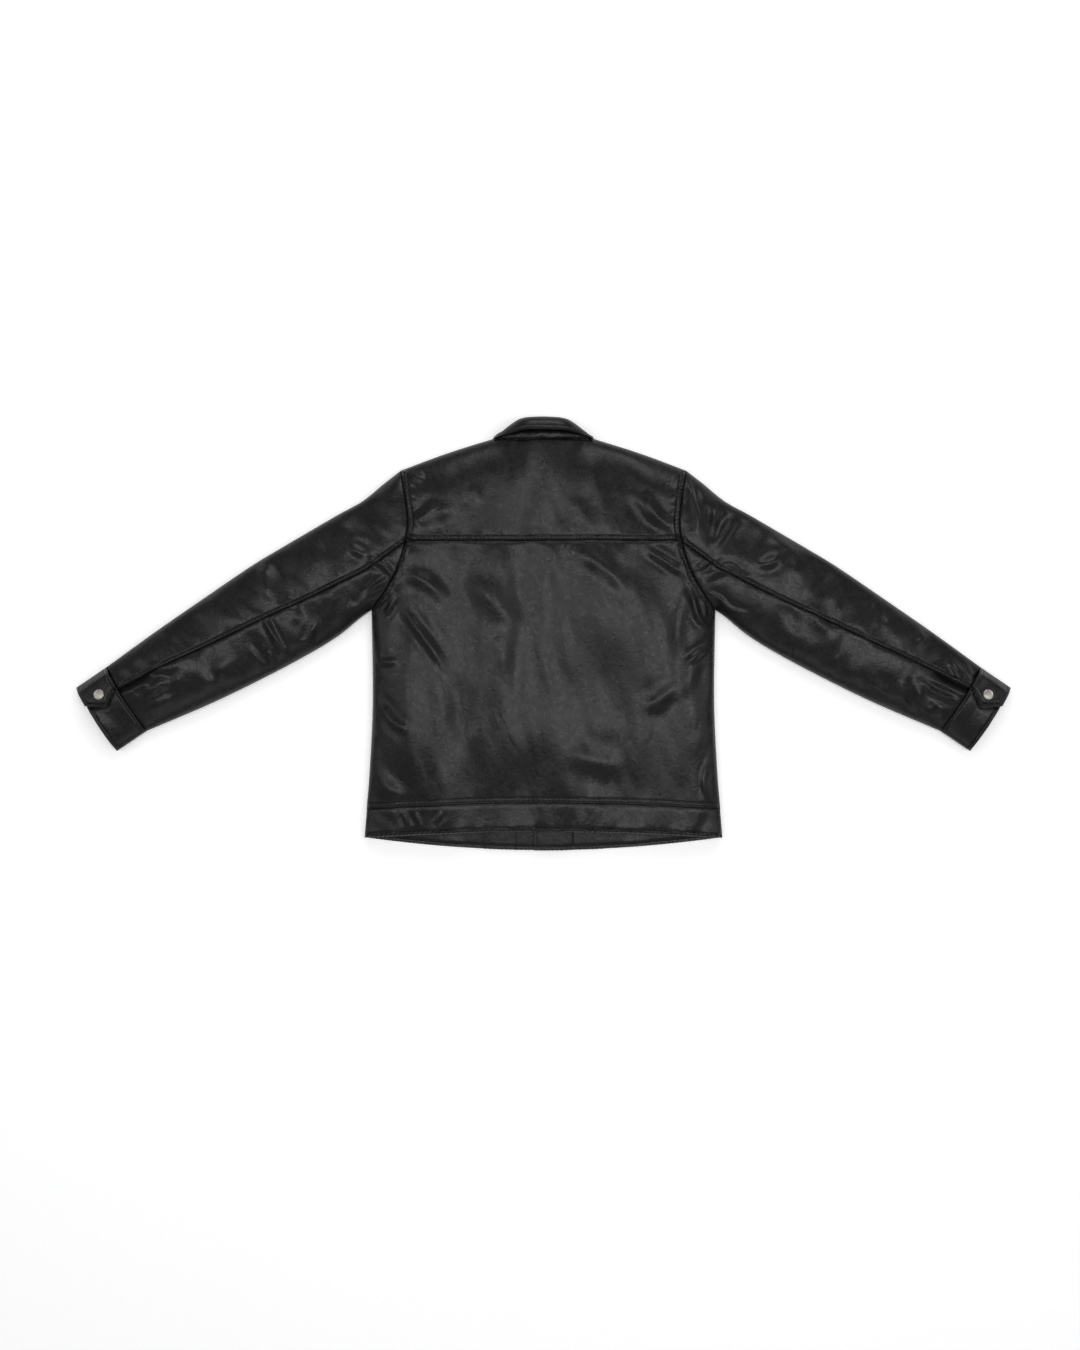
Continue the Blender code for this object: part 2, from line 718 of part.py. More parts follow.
def make_sleeve(side):
    name = "right" if side > 0 else "left"
    last = 1 - GAP / SLEEVE_LENGTH
    share = GAP / SLEEVE_WIDTH
    upper = sleeve_grid(side, lambda s: back_seam_share(s) + share, lambda s: FRONT_SEAM_SHARE + share, 1,
                        last)
    shell(f"upper_sleeve_{name}", upper, 0, LEATHER, leather())
    under = sleeve_grid(side, lambda s: back_seam_share(s) - share, lambda s: FRONT_SEAM_SHARE - share, 0,
                        last)
    shell(f"under_sleeve_{name}", under, 0, LEATHER, leather())
    lining = np.concatenate([upper[:, ::-1], under], axis=1)[2:-1, 1:-1]
    middle = upper.shape[1] - 1
    lining = np.delete(lining, (middle - 1, middle), axis=1)
    shell(f"sleeve_lining_{name}", lining, LEATHER + LAYER_GAP, CLOTH, lining_cloth(), -1, seams=())


def cuff_plan(u, v):
    """The plan point of the cuff at u millimetres past its seam and v from underarm to top."""
    t = u / CUFF_LENGTH
    low = np.array(CUFF_UNDER[0], float) * (1 - t) + np.array(CUFF_UNDER[1], float) * t
    high = np.array(CUFF_TOP[0], float) * (1 - t) + np.array(CUFF_TOP[1], float) * t
    return low + (high - low) * v


def tab_grid(side, seam):
    """The tab lies over the cuff from the top fold to its point, and rises clear of the cuff's snap."""
    rows = []
    for share in np.linspace(0, 1, 7):
        row = []
        for u in np.linspace(seam, CUFF_LENGTH, 9):
            off = abs(2 * (u - seam) / (CUFF_LENGTH - seam) - 1)
            reach = TAB_POINT - (TAB_POINT - TAB_SIDE) * off
            a = TAB_ROOT + (reach - TAB_ROOT) * share
            x, y = cuff_plan(u, 1 - a / CUFF_WIDTH)
            raised = (TAB_GAP + TAB_THICKNESS) * float(smoothstep(0, 16, a))
            row.append((x * side, y, float(upper_height(np.array(x), np.array(y))) + raised))
        rows.append(row)
    return np.array(rows)


def height_and_slope(x, y, step=2.0):
    """The upper side's height on the right half, and its slopes along x and y."""
    xs = np.array([x, x + step, x - step, x, x])
    ys = np.array([y, y, y, y + step, y - step])
    z = upper_height(xs, ys)
    return float(z[0]), float(z[1] - z[2]) / (2 * step), float(z[3] - z[4]) / (2 * step)


def make_cuff(side):
    """The cuff band, open under its tab, and the tab that closes over it with a snap."""
    name = "right" if side > 0 else "left"
    seam = GAP * 1.2
    near = 1 - FOLD_STEPS
    steps = [(v, True) for v in np.linspace(UNDERLAP, FOLD_STEPS[-1], 6)[:-1]]
    steps += [(v, True) for v in FOLD_STEPS[::-1]]
    steps += [(v, False) for v in FOLD_STEPS[1:]]
    steps += [(v, False) for v in np.linspace(FOLD_STEPS[-1], near[-1], 5)[1:-1]]
    steps += [(v, False) for v in near[::-1]]
    rows = []
    for u in np.linspace(seam, CUFF_LENGTH, 4):
        rows.append([(cuff_plan(u, v), is_upper) for v, is_upper in steps])
    grid = wrapped_grid(side, rows)
    grid[:, -1, 2] -= GAP
    cuff = shell(f"cuff_{name}", grid, 0, BAND, leather())
    tab = shell(f"cuff_tab_{name}", tab_grid(side, seam), 0, TAB_THICKNESS, leather(), 1, seams=())

    x, y = cuff_plan(0.5 * (seam + CUFF_LENGTH), 1 - TAB_SNAP / CUFF_WIDTH)
    z, slope_x, slope_y = height_and_slope(x, y)
    axis = np.array([-slope_x * side, -slope_y, 1.0])
    axis /= np.linalg.norm(axis)
    base = np.array([x * side, y, z])
    outer = base + axis * (TAB_GAP + TAB_THICKNESS + 0.3)
    drill(tab, [outer], axis)
    drill(cuff, [base], axis, 5.0)
    make_cap(f"cuff_cap_{name}", outer, axis, TAB_THICKNESS + 0.5)
    make_socket(f"cuff_socket_{name}", base + axis * (TAB_GAP - 0.6), -axis)
    make_stud(f"cuff_stud_{name}", base + axis * 0.5, axis, BAND + 0.9)


# ---------------------------------------------------------------- snaps

def make_cap(name, place, axis, shaft):
    """The visible cap: a low dome with a shallow rolled rim, and its shaft through the leather."""
    profile = ((0, -shaft), (SHAFT_RADIUS, -shaft), (SHAFT_RADIUS, 0), (CAP_RADIUS - 0.5, 0),
               (CAP_RADIUS, 0.5), (CAP_RADIUS - 0.4, 1.1), (CAP_RADIUS - 1.4, 1.3), (4.0, 1.5), (0, CAP_HEIGHT))
    turned(name, profile, place, axis)


def make_socket(name, place, axis):
    profile = ((SOCKET_BORE, 0), (SOCKET_RADIUS - 0.3, 0), (SOCKET_RADIUS, 0.4), (SOCKET_RADIUS - 1.0, 1.5),
               (SOCKET_BORE, 1.5))
    turned(name, profile, place, axis, ring=True)


def make_stud(name, place, axis, shaft):
    """The stud with its knob, riveted through the leather to a flange on the far side."""
    flange = SHAFT_RADIUS + 2.4
    profile = ((0, -shaft - 0.6), (flange, -shaft - 0.6), (flange, -shaft), (SHAFT_RADIUS, -shaft),
               (SHAFT_RADIUS, 0), (STUD_RADIUS, 0), (STUD_RADIUS - 0.4, 0.4), (KNOB_RADIUS, 0.5),
               (KNOB_RADIUS, 1.6), (0, 1.9))
    turned(name, profile, place, axis)


def make_front_snaps():
    left_stack = LEATHER + LAYER_GAP + FACING
    for number, y in enumerate(SNAP_YS, 1):
        outer = FLAP_LIFT - 0.3
        make_cap(f"front_cap_{number}", (0, y, outer), (0, 0, -1), left_stack + 0.5)
        make_socket(f"front_socket_{number}", (0, y, FLAP_LIFT + left_stack + 0.3), (0, 0, 1))
        stud_place = (0, y, FLAP_LIFT + OVERLAP_LIFT - 0.3)
        make_stud(f"front_stud_{number}", stud_place, (0, 0, -1), left_stack + 0.6)


make_back()
make_yoke()
make_neck_facing()
make_back_band()
make_collar()
for mirror_side in (-1, 1):
    make_side_front(mirror_side)
    make_flap(mirror_side)
    make_sleeve(mirror_side)
    make_cuff(mirror_side)
make_front_snaps()
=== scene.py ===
"""The looks of the black leather jacket, lying face down with its sleeves spread.

Every sewn piece is a grid of points on one lying form, with the form's folds, seams and puckers
in its geometry.  The form's lines repeat those of the CAD source.  The helpers work in
millimetres and the meshes are in metres: +X right of the back, +Y to the collar, +Z up.
"""

import math

import bpy
import numpy as np
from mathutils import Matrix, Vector


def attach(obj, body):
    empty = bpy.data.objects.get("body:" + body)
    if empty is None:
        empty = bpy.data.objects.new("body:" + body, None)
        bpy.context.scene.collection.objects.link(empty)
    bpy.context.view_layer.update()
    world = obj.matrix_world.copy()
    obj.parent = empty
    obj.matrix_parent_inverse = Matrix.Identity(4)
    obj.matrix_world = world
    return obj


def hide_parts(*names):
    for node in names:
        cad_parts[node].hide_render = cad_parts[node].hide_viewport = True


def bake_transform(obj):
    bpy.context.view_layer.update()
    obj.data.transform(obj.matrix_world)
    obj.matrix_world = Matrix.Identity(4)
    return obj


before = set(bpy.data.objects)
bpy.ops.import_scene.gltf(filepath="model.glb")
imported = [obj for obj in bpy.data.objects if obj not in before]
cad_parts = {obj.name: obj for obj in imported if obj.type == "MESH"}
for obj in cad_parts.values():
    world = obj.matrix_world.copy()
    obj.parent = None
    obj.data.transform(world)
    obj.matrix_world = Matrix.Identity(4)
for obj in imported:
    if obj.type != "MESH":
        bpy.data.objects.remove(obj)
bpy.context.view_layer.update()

MM = 0.001

# ---------------- the lying form, as in the CAD

LEATHER = 1.5
BAND = 2.2
FACING = 1.0
CLOTH = 0.6
LAYER_GAP = 0.5

FOLD_HEIGHT = 10.0
RISE = 33.0
REACH = 85.0
LOWER_REACH = 14.0
END_LOSS = 0.3
END_REACH = 170.0

HINGE_X = 85.0
PANEL_SEAM = 97.0
FLAP_LIFT = 2.6
FLAP_RAMP = 20.0
OVERLAP_LIFT = 6.0
LEFT_EDGE = 18.0
RIGHT_EDGE = -16.0
FACING_WIDTH = 65.0
FRONT_HEM = -353.0
FRONT_HEM_CURVE = 21.0
FRONT_BAND = 47.0
SNAP_YS = (200.0, 96.0, -8.0, -112.0, -216.0, -329.0)

BACK_HEM = -321.0
BACK_HEM_CURVE = -11.0
BACK_BAND = 47.0
YOKE_SEAM = 153.0
SIDE_X = 294.0

NECK_X = 82.0
NECK_Y = 322.0
ROLL = ((0, 353), (24, 352.3), (38, 349.8), (48, 345), (60, 337), (72, 328.6), (82, 323))

CUFF_LENGTH = 60.0
TAB_SIDE = 36.0
TAB_POINT = 56.0
TAB_GAP = 2.4
TAB_SNAP = 34.0
UNDERLAP = 0.84
CUFF_WIDTH = 123.0

SHOULDER = ((NECK_X, NECK_Y), (158, 298), (233.5, 270))
SLEEVE_TOP = ((233.5, 270), (262, 248), (297, 219.5), (335, 198.5), (372, 177), (430, 143), (482, 111.5),
              (570, 51.5), (640, 3), (716, -52))
CUFF_TOP = ((716, -52), (766, -86))
SLEEVE_UNDER = ((282, 41), (300, 28), (335, -0.5), (380, -28.5), (449, -65.5), (540, -110), (650, -157))
CUFF_UNDER = ((650, -157), (699, -190))
SIDE = ((SIDE_X, -332), (289.5, -277), (285, -220), (280, -106), (282, 41))
ARMHOLE = ((282, 41), (264.5, 62), (246.5, 90), (233.5, 119), (225.5, 147), (221.3, 171.5), (221.3, 196),
           (227, 236), (233.5, 270))
NECKLINE = ((NECK_X, NECK_Y), (77, 286), (52, 250), (18, 236))
FRONT_SEAM_SHARE = 0.3


def smooth(points, per_span=8):
    """Points of a Catmull-Rom curve through the given ones."""
    p = np.array(points, float)
    padded = np.vstack([2 * p[0] - p[1], p, 2 * p[-1] - p[-2]])
    out = []
    for i in range(len(p) - 1):
        a, b, c, d = padded[i:i + 4]
        for t in np.linspace(0, 1, per_span, endpoint=False):
            out.append(0.5 * (2 * b + (c - a) * t + (2 * a - 5 * b + 4 * c - d) * t ** 2
                              + (3 * b - a - 3 * c + d) * t ** 3))
    out.append(p[-1])
    return np.array(out)


def curve(points):
    """A function from 0..1 to the point at that share of the curve's length."""
    path = smooth(points)
    steps = np.r_[0, np.cumsum(np.linalg.norm(np.diff(path, axis=0), axis=1))]
    share = steps / steps[-1]

    def at(t):
        t = np.asarray(t, float)
        return np.stack([np.interp(t, share, path[:, 0]), np.interp(t, share, path[:, 1])], -1)

    return at


def smoothstep(low, high, x):
    t = np.clip((x - low) / (high - low), 0, 1)
    return t * t * (3 - 2 * t)


def distance(x, y, points):
    p = np.stack([x, y], -1)[..., None, :]
    a, b = points[:-1], points[1:]
    run = b - a
    t = np.clip(((p - a) * run).sum(-1) / (run ** 2).sum(-1), 0, 1)
    return np.linalg.norm(p - a - t[..., None] * run, axis=-1).min(-1)


UPPER_LINE = np.vstack([smooth(SHOULDER), smooth(SLEEVE_TOP)[1:], CUFF_TOP[1:]])
LOWER_LINE = np.vstack([smooth(SIDE), smooth(SLEEVE_UNDER)[1:], CUFF_UNDER[1:]])
CUFF_END = np.array([CUFF_TOP[1], CUFF_UNDER[1]], float)


def from_fold(x, y):
    upper = distance(np.abs(x), y, UPPER_LINE)
    lower = distance(np.abs(x), y, LOWER_LINE)
    return (np.maximum(upper, 1e-4) ** -3 + np.maximum(lower, 1e-4) ** -3) ** (-1 / 3)


def crown(d, reach):
    return np.sqrt(1 - (1 - np.clip(d / reach, 0, 1)) ** 2)


def upper_form(x, y):
    end = np.minimum(distance(np.abs(x), y, CUFF_END), np.abs(y - BACK_HEM) + 500 * (np.abs(x) > 300))
    loss = END_LOSS * (1 - smoothstep(0, END_REACH, end))
    return FOLD_HEIGHT + RISE * (1 - loss) * crown(from_fold(x, y), REACH)


def lower_form(x, y):
    return FOLD_HEIGHT * (1 - crown(from_fold(x, y), LOWER_REACH))


def back_hem(x):
    return BACK_HEM + BACK_HEM_CURVE * (x / SIDE_X) ** 2


def back_seam(x):
    return back_hem(x) + BACK_BAND


def front_hem(x):
    return FRONT_HEM + FRONT_HEM_CURVE * (x / SIDE_X) ** 2


def front_seam(x):
    return front_hem(x) + FRONT_BAND


def neck_seam(x):
    return NECK_Y - 3.0 * (1 - (x / NECK_X) ** 2)


ARMHOLE_CURVE = curve(ARMHOLE)
SLEEVE_UNDER_CURVE = curve(SLEEVE_UNDER)
SLEEVE_TOP_CURVE = curve(SLEEVE_TOP)
SHOULDER_POINTS = smooth(SHOULDER)
ARM_POINTS = smooth(ARMHOLE)
ROLL_POINTS = smooth(ROLL)
SIDE_POINTS = smooth(SIDE)
NECK_POINTS = smooth(NECKLINE)[::-1]


def torso_x(y):
    """The right edge of the torso at a height: the side fold, then the armhole."""
    y = np.asarray(y, float)
    arm = np.interp(y, ARM_POINTS[:, 1], ARM_POINTS[:, 0])
    side = np.interp(y, SIDE_POINTS[:, 1], SIDE_POINTS[:, 0])
    return np.where(y > ARMHOLE[0][1], arm, side)


def back_seam_share(s):
    return 0.505 + 0.155 * s ** 2


def sleeve_plan(s, v):
    """The plan point of the sleeve at s from armhole to cuff seam and v from underarm to top."""
    s, v = np.broadcast_arrays(np.asarray(s, float), np.asarray(v, float))
    start = ARMHOLE_CURVE(v)
    cuff_low, cuff_high = np.array(SLEEVE_UNDER[-1], float), np.array(SLEEVE_TOP[-1], float)
    s, v = s[..., None], v[..., None]
    end = cuff_low + (cuff_high - cuff_low) * v
    low, high = SLEEVE_UNDER_CURVE(s[..., 0]), SLEEVE_TOP_CURVE(s[..., 0])
    a, b = np.array(SLEEVE_UNDER[0], float), np.array(SLEEVE_TOP[0], float)
    corners = (1 - v) * (1 - s) * a + v * (1 - s) * b + (1 - v) * s * cuff_low + v * s * cuff_high
    return (1 - s) * start + s * end + (1 - v) * low + v * high - corners


def cuff_plan(u, v):
    """The plan point of the cuff at u millimetres past its seam and v from underarm to top."""
    u, v = np.broadcast_arrays(np.asarray(u, float), np.asarray(v, float))
    t = (u / CUFF_LENGTH)[..., None]
    low = np.array(CUFF_UNDER[0], float) * (1 - t) + np.array(CUFF_UNDER[1], float) * t
    high = np.array(CUFF_TOP[0], float) * (1 - t) + np.array(CUFF_TOP[1], float) * t
    return low + (high - low) * v[..., None]


# ---------------- folds, seams and puckers

def noise(x, y, cell_x, cell_y, seed):
    """Smooth noise from -1 to 1 with cells of that size."""
    table = np.random.RandomState(seed).uniform(-1, 1, (128, 128))
    u, v = x / cell_x + 60.3, y / cell_y + 60.7
    i, j = np.floor(u).astype(int), np.floor(v).astype(int)
    fu, fv = u - i, v - j
    fu, fv = fu * fu * (3 - 2 * fu), fv * fv * (3 - 2 * fv)
    i, j, i2, j2 = i % 128, j % 128, (i + 1) % 128, (j + 1) % 128
    low = table[i, j] * (1 - fu) + table[i2, j] * fu
    high = table[i, j2] * (1 - fu) + table[i2, j2] * fu
    return low * (1 - fv) + high * fv


# Folds of the upper side: (line, half-width, height)
FOLDS = (
    (((-219, 263), (-206, 258), (-194, 248)), 7, 1.6),
    (((-217, 176), (-191, 198), (-165, 217)), 9, 2.2),
    (((-216, 167), (-175, 193), (-141, 209)), 11, 1.6),
    (((-124, 239), (-111, 228), (-104, 208)), 13, 0.8),
    (((-243, 64), (-248, 47), (-260, 28)), 5, 2.0),
    (((-275, -26), (-263, -44), (-235, -42)), 6, 1.6),
    (((34, 225), (57, 201), (85, 168)), 13, 0.8),
    (((163, 236), (180, 198), (214, 165)), 10, 2.6),
    (((142, 237), (158, 212), (183, 172)), 10, 1.6),
    (((237, 82), (243, 57), (252, 28), (270, 11)), 6, 2.8),
    (((263, 60), (270, 41), (268, 21)), 4, -1.6),
    (((257, -25), (240, -60), (234, -106)), 11, 1.6),
    (((-466, 119), (-453, 96), (-446, 70), (-449, 54)), 15, 2.6),
    (((-458, 38), (-443, 8), (-425, -21), (-407, -34)), 5, 2.6),
    (((-412, 49), (-402, 34), (-402, 15)), 10, 1.4),
    (((-371, 21), (-382, -10), (-392, -21)), 6, 2.0),
    (((-448, -25), (-440, -42), (-428, -47)), 4, 1.8),
    (((-474, -8), (-459, -33), (-448, -54)), 6, -1.4),
    (((-317, 142), (-302, 136), (-286, 126)), 8, 1.8),
    (((-289, 123), (-263, 114), (-248, 100), (-247, 87)), 5, 2.2),
    (((-250, 90), (-273, 78), (-291, 60)), 5, 2.0),
    (((-257, 74), (-283, 57), (-312, 31)), 9, 1.8),
    (((-324, 109), (-340, 74), (-361, 38)), 16, 1.6),
    (((-511, -33), (-525, -60), (-531, -87)), 12, 1.4),
    (((-551, -33), (-538, -60), (-525, -80)), 10, -1.2),
    (((-642, -51), (-626, -54), (-613, -47)), 7, 1.6),
    (((-642, -70), (-609, -67), (-583, -54)), 8, -1.0),
    (((-621, -60), (-624, -80), (-642, -96)), 9, 2.0),
    (((-659, -116), (-618, -96), (-583, -87)), 8, -0.8),
    (((235, 257), (242, 225), (250, 188), (247, 154)), 5, 2.4),
    (((314, 196), (292, 165), (275, 137)), 8, 3.0),
    (((289, 211), (276, 185), (273, 155)), 6, 1.8),
    (((263, 221), (268, 188), (265, 147)), 7, -1.8),
    (((387, 129), (368, 118), (342, 111)), 9, 2.2),
    (((245, 105), (263, 114), (276, 126)), 4, 1.8),
    (((261, 88), (279, 101), (301, 106), (322, 95), (345, 93)), 7, 2.4),
    (((266, 67), (284, 60), (304, 41), (338, 31)), 5, 2.0),
    (((275, 56), (302, 28), (342, 2)), 4, -1.4),
    (((404, 123), (420, 90), (430, 57)), 14, 1.6),
    (((371, 163), (397, 145), (420, 129)), 12, 1.4),
    (((436, 51), (449, 21), (466, -2)), 13, 1.8),
    (((394, 51), (407, 21), (420, 2)), 11, -1.2),
    (((485, 57), (479, 28), (489, 2)), 10, 1.2),
    (((603, 10), (619, -3), (606, -21)), 9, 1.6),
    (((659, -42), (672, -62), (680, -78)), 5, 2.0),
    (((685, -39), (694, -59), (699, -75)), 6, 1.4),
    (((624, -47), (645, -54), (665, -70)), 6, 0.9),
    (((614, -75), (629, -90), (650, -100), (675, -108)), 5, 2.4),
    (((609, -80), (611, -103), (621, -124), (632, -132)), 7, 2.2),
    (((642, -113), (649, -126), (642, -139)), 7, 1.0),
    (((592, -67), (596, -96), (606, -116)), 8, -1.6),
    (((531, -74), (547, -90), (567, -109)), 10, 1.2),
    (((548, 34), (568, 8), (582, -18)), 15, 1.5),
    (((503, 30), (521, 2), (530, -26)), 13, 1.2),
    (((-4, 140), (0, 81), (-4, -30), (15, -104), (4, -178)), 14, 1.6),
    (((-41, 133), (-41, 26), (-45, -104), (-34, -170)), 15, -2.0),
    (((-230, 100), (-189, 85), (-152, 48)), 12, 1.9),
    (((-233, 52), (-211, 18), (-178, -26), (-154, -67)), 8, 2.3),
    (((-130, 92), (-90, 63), (-48, 15), (-41, -4)), 18, 1.7),
    (((-141, -52), (-137, -141), (-141, -178)), 20, -2.0),
    (((-270, -111), (-244, -141), (-215, -159)), 8, 1.7),
    (((-278, -207), (-255, -248), (-215, -266)), 12, 1.6),
    (((52, 137), (100, 107), (140, 66)), 13, 1.6),
    (((163, 141), (196, 120), (231, 96)), 7, 1.8),
    (((159, -122), (192, -104), (218, -74)), 13, 1.8),
    (((34, -184), (84, -207), (140, -214)), 19, 1.6),
    (((233, 81), (219, 7), (218, -56)), 11, -2.4),
    (((272, -19), (250, -32), (229, -50)), 6, 1.9),
    (((270, -204), (261, -237), (268, -266)), 5, 1.8),
    (((-226, -288), (-221, -313)), 4, 1.4),
    (((-207, -288), (-203, -312)), 4, 1.4),
    (((-166, -287), (-176, -308)), 4, 1.2),
)


def along_line(x, y, points):
    """Signed distance from a line of segments (left of it is positive) and the length along it."""
    p = np.stack([x, y], -1)[..., None, :]
    a, b = points[:-1], points[1:]
    run = b - a
    lengths = np.linalg.norm(run, axis=-1)
    t = np.clip(((p - a) * run).sum(-1) / lengths ** 2, 0, 1)
    off = p - a - t[..., None] * run
    gap = np.linalg.norm(off, axis=-1)
    best = gap.argmin(-1)[..., None]
    side = np.sign(run[:, 0] * off[..., 1] - run[:, 1] * off[..., 0])
    pick = lambda values: np.take_along_axis(values, best, -1)[..., 0]
    starts = np.r_[0, np.cumsum(lengths)[:-1]]
    return pick(gap) * pick(side), pick(starts + t * lengths)


def near_line(x, y, points, reach):
    """Indices of the points within a box round a line."""
    low, high = points.min(0) - reach, points.max(0) + reach
    return np.nonzero((x > low[0]) & (x < high[0]) & (y > low[1]) & (y < high[1]))


def fold_relief(x, y):
    total = np.zeros_like(x)
    for points, width, height in FOLDS:
        path = smooth(points, 5)
        width, height = 1.3 * width, 1.7 * height
        near = near_line(x, y, path, 3.2 * width)
        if not len(near[0]):
            continue
        off, run = along_line(x[near], y[near], path)
        length = np.linalg.norm(np.diff(path, axis=0), axis=1).sum()
        fade = smoothstep(-0.05, 0.35, run / length) * smoothstep(1.05, 0.6, run / length)
        ridge = np.exp(-(off / (0.62 * width)) ** 2)
        dip = np.exp(-((np.abs(off) - 1.35 * width) / (0.7 * width)) ** 2)
        total[near] += height * fade * (ridge - 0.38 * dip)
    return total


def sleeve_line(share_of, count=60, last=1.0):
    s = np.linspace(0, last, count)
    return sleeve_plan(s, share_of(s))


YOKE_END = float(torso_x(YOKE_SEAM))
YOKE_LINE = np.array([(-YOKE_END, YOKE_SEAM), (0, YOKE_SEAM), (YOKE_END, YOKE_SEAM)], float)
CUFF_SEAM = np.array([SLEEVE_UNDER[-1], SLEEVE_TOP[-1]], float)
BAND_XS = np.linspace(-SIDE_X, SIDE_X, 41)
BAND_LINE = np.stack([BAND_XS, back_seam(BAND_XS)], -1)
HEM_LINE = np.stack([BAND_XS, back_hem(BAND_XS)], -1)[::-1]
NECK_XS = np.linspace(-NECK_X, NECK_X, 21)
NECK_LINE = np.stack([NECK_XS, neck_seam(NECK_XS)], -1)
SLIT_START = 0.86

YOKE_STITCH = 7.5
BAND_STITCHES = (2.6, 8.6)
HEM_STITCH = 6.6
ARM_STITCH = 8.8
SLEEVE_STITCH = 6.0
CUFF_STITCH = 5.2
CUFF_END_STITCH = 6.5

# Seams of the upper side: (line, side of the topstitching, its distances, valley depth, pucker
# length, pucker height)
# The lines on the right half are repeated on the left half.
MIDDLE_SEAMS = (
    (YOKE_LINE, 1, (YOKE_STITCH,), 1.4, 6.8, 0.55),
    (BAND_LINE, 1, BAND_STITCHES, 1.1, 8.0, 0.22),
    (HEM_LINE, -1, (HEM_STITCH,), 1.5, 7.4, 1.00),
    (NECK_LINE, -1, (2.0,), 1.5, 7.0, 0.90),
)
SIDE_SEAMS = (
    (ARM_POINTS, 1, (ARM_STITCH,), 1.7, 6.4, 0.85),
    (sleeve_line(back_seam_share), 1, (SLEEVE_STITCH,), 1.4, 6.2, 0.50),
    (CUFF_SEAM, -1, (CUFF_STITCH,), 1.6, 9.0, 0.30),
    (CUFF_END[::-1], 1, (CUFF_END_STITCH,), 0.9, 5.0, 0.40),
)


def seam_relief(x, y, seam, seed):
    """The dip at a seam, the puckered strip up to its stitching, and the stitching's groove."""
    path, side, stitches, depth, length, height = seam
    out = np.zeros_like(x)
    near = near_line(x, y, path, 34)
    if not len(near[0]):
        return out
    off, run = along_line(x[near], y[near], path)
    off = off * side
    last = stitches[-1]
    total = -1.3 * depth * np.exp(-(off / 1.1) ** 2) - 0.7 * depth * np.exp(-(off / 4.5) ** 2)
    strip = np.clip(off / last, 0, 1)
    within = np.sin(math.pi * strip) ** 0.8 * (off > 0) * (off < last)
    total += 1.0 * within
    for stitch in stitches:
        total -= 1.1 * np.exp(-((off - stitch) / 1.0) ** 2)
    wander = run + 2.2 * noise(run, off * 0 + seed, 14, 7, seed) + 0.35 * off
    size = 0.65 + 0.5 * noise(run, off * 0, 31, 5, seed + 1)
    total += 2.2 * height * size * within * np.sin(2 * math.pi * wander / length)
    pull = np.exp(-np.maximum(off - last, 0) / 9.0) * (off > last) + np.exp(off / 7.0) * (off < 0)
    total += 1.0 * height * pull * noise(wander, off, 0.9 * length, 24, seed + 2)
    total += 1.8 * height * pull * noise(wander, off, 2.6 * length, 40, seed + 3)
    out[near] = total
    return out


def drape(x, y):
    """Soft waves of the leather between the folds."""
    ax = np.abs(x)
    body = smoothstep(262, 215, ax)
    turn = (x * 0.83 - y * 0.56 * np.sign(x), x * 0.56 * np.sign(x) + y * 0.83)
    waves = 8.0 * noise(x + 0.1 * y, y, 58, 200, 11) + 2.4 * noise(x - 0.2 * y, y, 33, 90, 12)
    waves += 0.8 * noise(x + 0.25 * y, y, 17, 60, 13)
    arm = 4.0 * noise(turn[0], turn[1], 56, 74, 14) + 1.3 * noise(turn[0], turn[1], 27, 44, 15)
    arm += 0.7 * noise(turn[0] + 0.3 * turn[1], turn[1], 14, 40, 16)
    waves *= smoothstep(0, 70, from_fold(x, y)) * (1 - 0.45 * np.exp(-((y - BACK_HEM) / 45) ** 2))
    return waves * body + arm * (1 - body)


def creases(x, y):
    """Fine breaks in the leather, in patches."""
    patch = np.clip(noise(x, y, 46, 60, 21) + 0.25, 0, 1)
    slant = np.where(x < 0, 0.8, -0.8)
    u, v = x + slant * y * 0.4, y - slant * x * 0.4
    lines = 1 - np.abs(noise(u, v, 7, 40, 22)) * 2.2
    return -0.45 * patch * np.clip(lines, 0, 1) ** 3


def relief(x, y):
    """All the relief of the upper side above the lying form."""
    calm = smoothstep(0, 26, from_fold(x, y))
    near = 1.0 - 0.55 * np.exp(-(np.minimum(np.abs(y - YOKE_SEAM), 60) / 14) ** 2) * (np.abs(x) < 222)
    total = (drape(x, y) * near + fold_relief(x, y)) * calm
    total += creases(x, y) * smoothstep(0, 8, from_fold(x, y))
    seams = np.zeros_like(x)
    for number, seam in enumerate(MIDDLE_SEAMS):
        seams += seam_relief(x, y, seam, 100 + 10 * number)
    for number, seam in enumerate(SIDE_SEAMS):
        for half in (-1, 1):
            mine = x * half > 0
            part = np.zeros_like(x)
            part[mine] = seam_relief((x * half)[mine], y[mine], seam, 200 + 10 * number + 3 * half)
            seams += part
    return total + seams * smoothstep(0, 5, from_fold(x, y))


def upper(x, y):
    x, y = np.asarray(x, float), np.asarray(y, float)
    return upper_form(x, y) + relief(x, y)


def lower_waves(x, y):
    """The lower side rests on the floor, with a few shallow hollows."""
    wave = 1.5 * noise(x, y, 52, 80, 31) + 0.8 * noise(x, y, 26, 40, 32)
    return np.clip(wave, 0, 3) * smoothstep(6, 40, from_fold(x, y))


def lower(x, y):
    x, y = np.asarray(x, float), np.asarray(y, float)
    return lower_form(x, y) + lower_waves(x, y)


def side_front(x, y):
    ramp = FLAP_LIFT * (1 - smoothstep(HINGE_X, HINGE_X + FLAP_RAMP, np.abs(x)))
    waves = lower_waves(x, y) * smoothstep(PANEL_SEAM, PANEL_SEAM + 30, np.abs(x))
    return np.maximum(lower_form(x, y), ramp) + waves


# ---------------- spacing of the grids

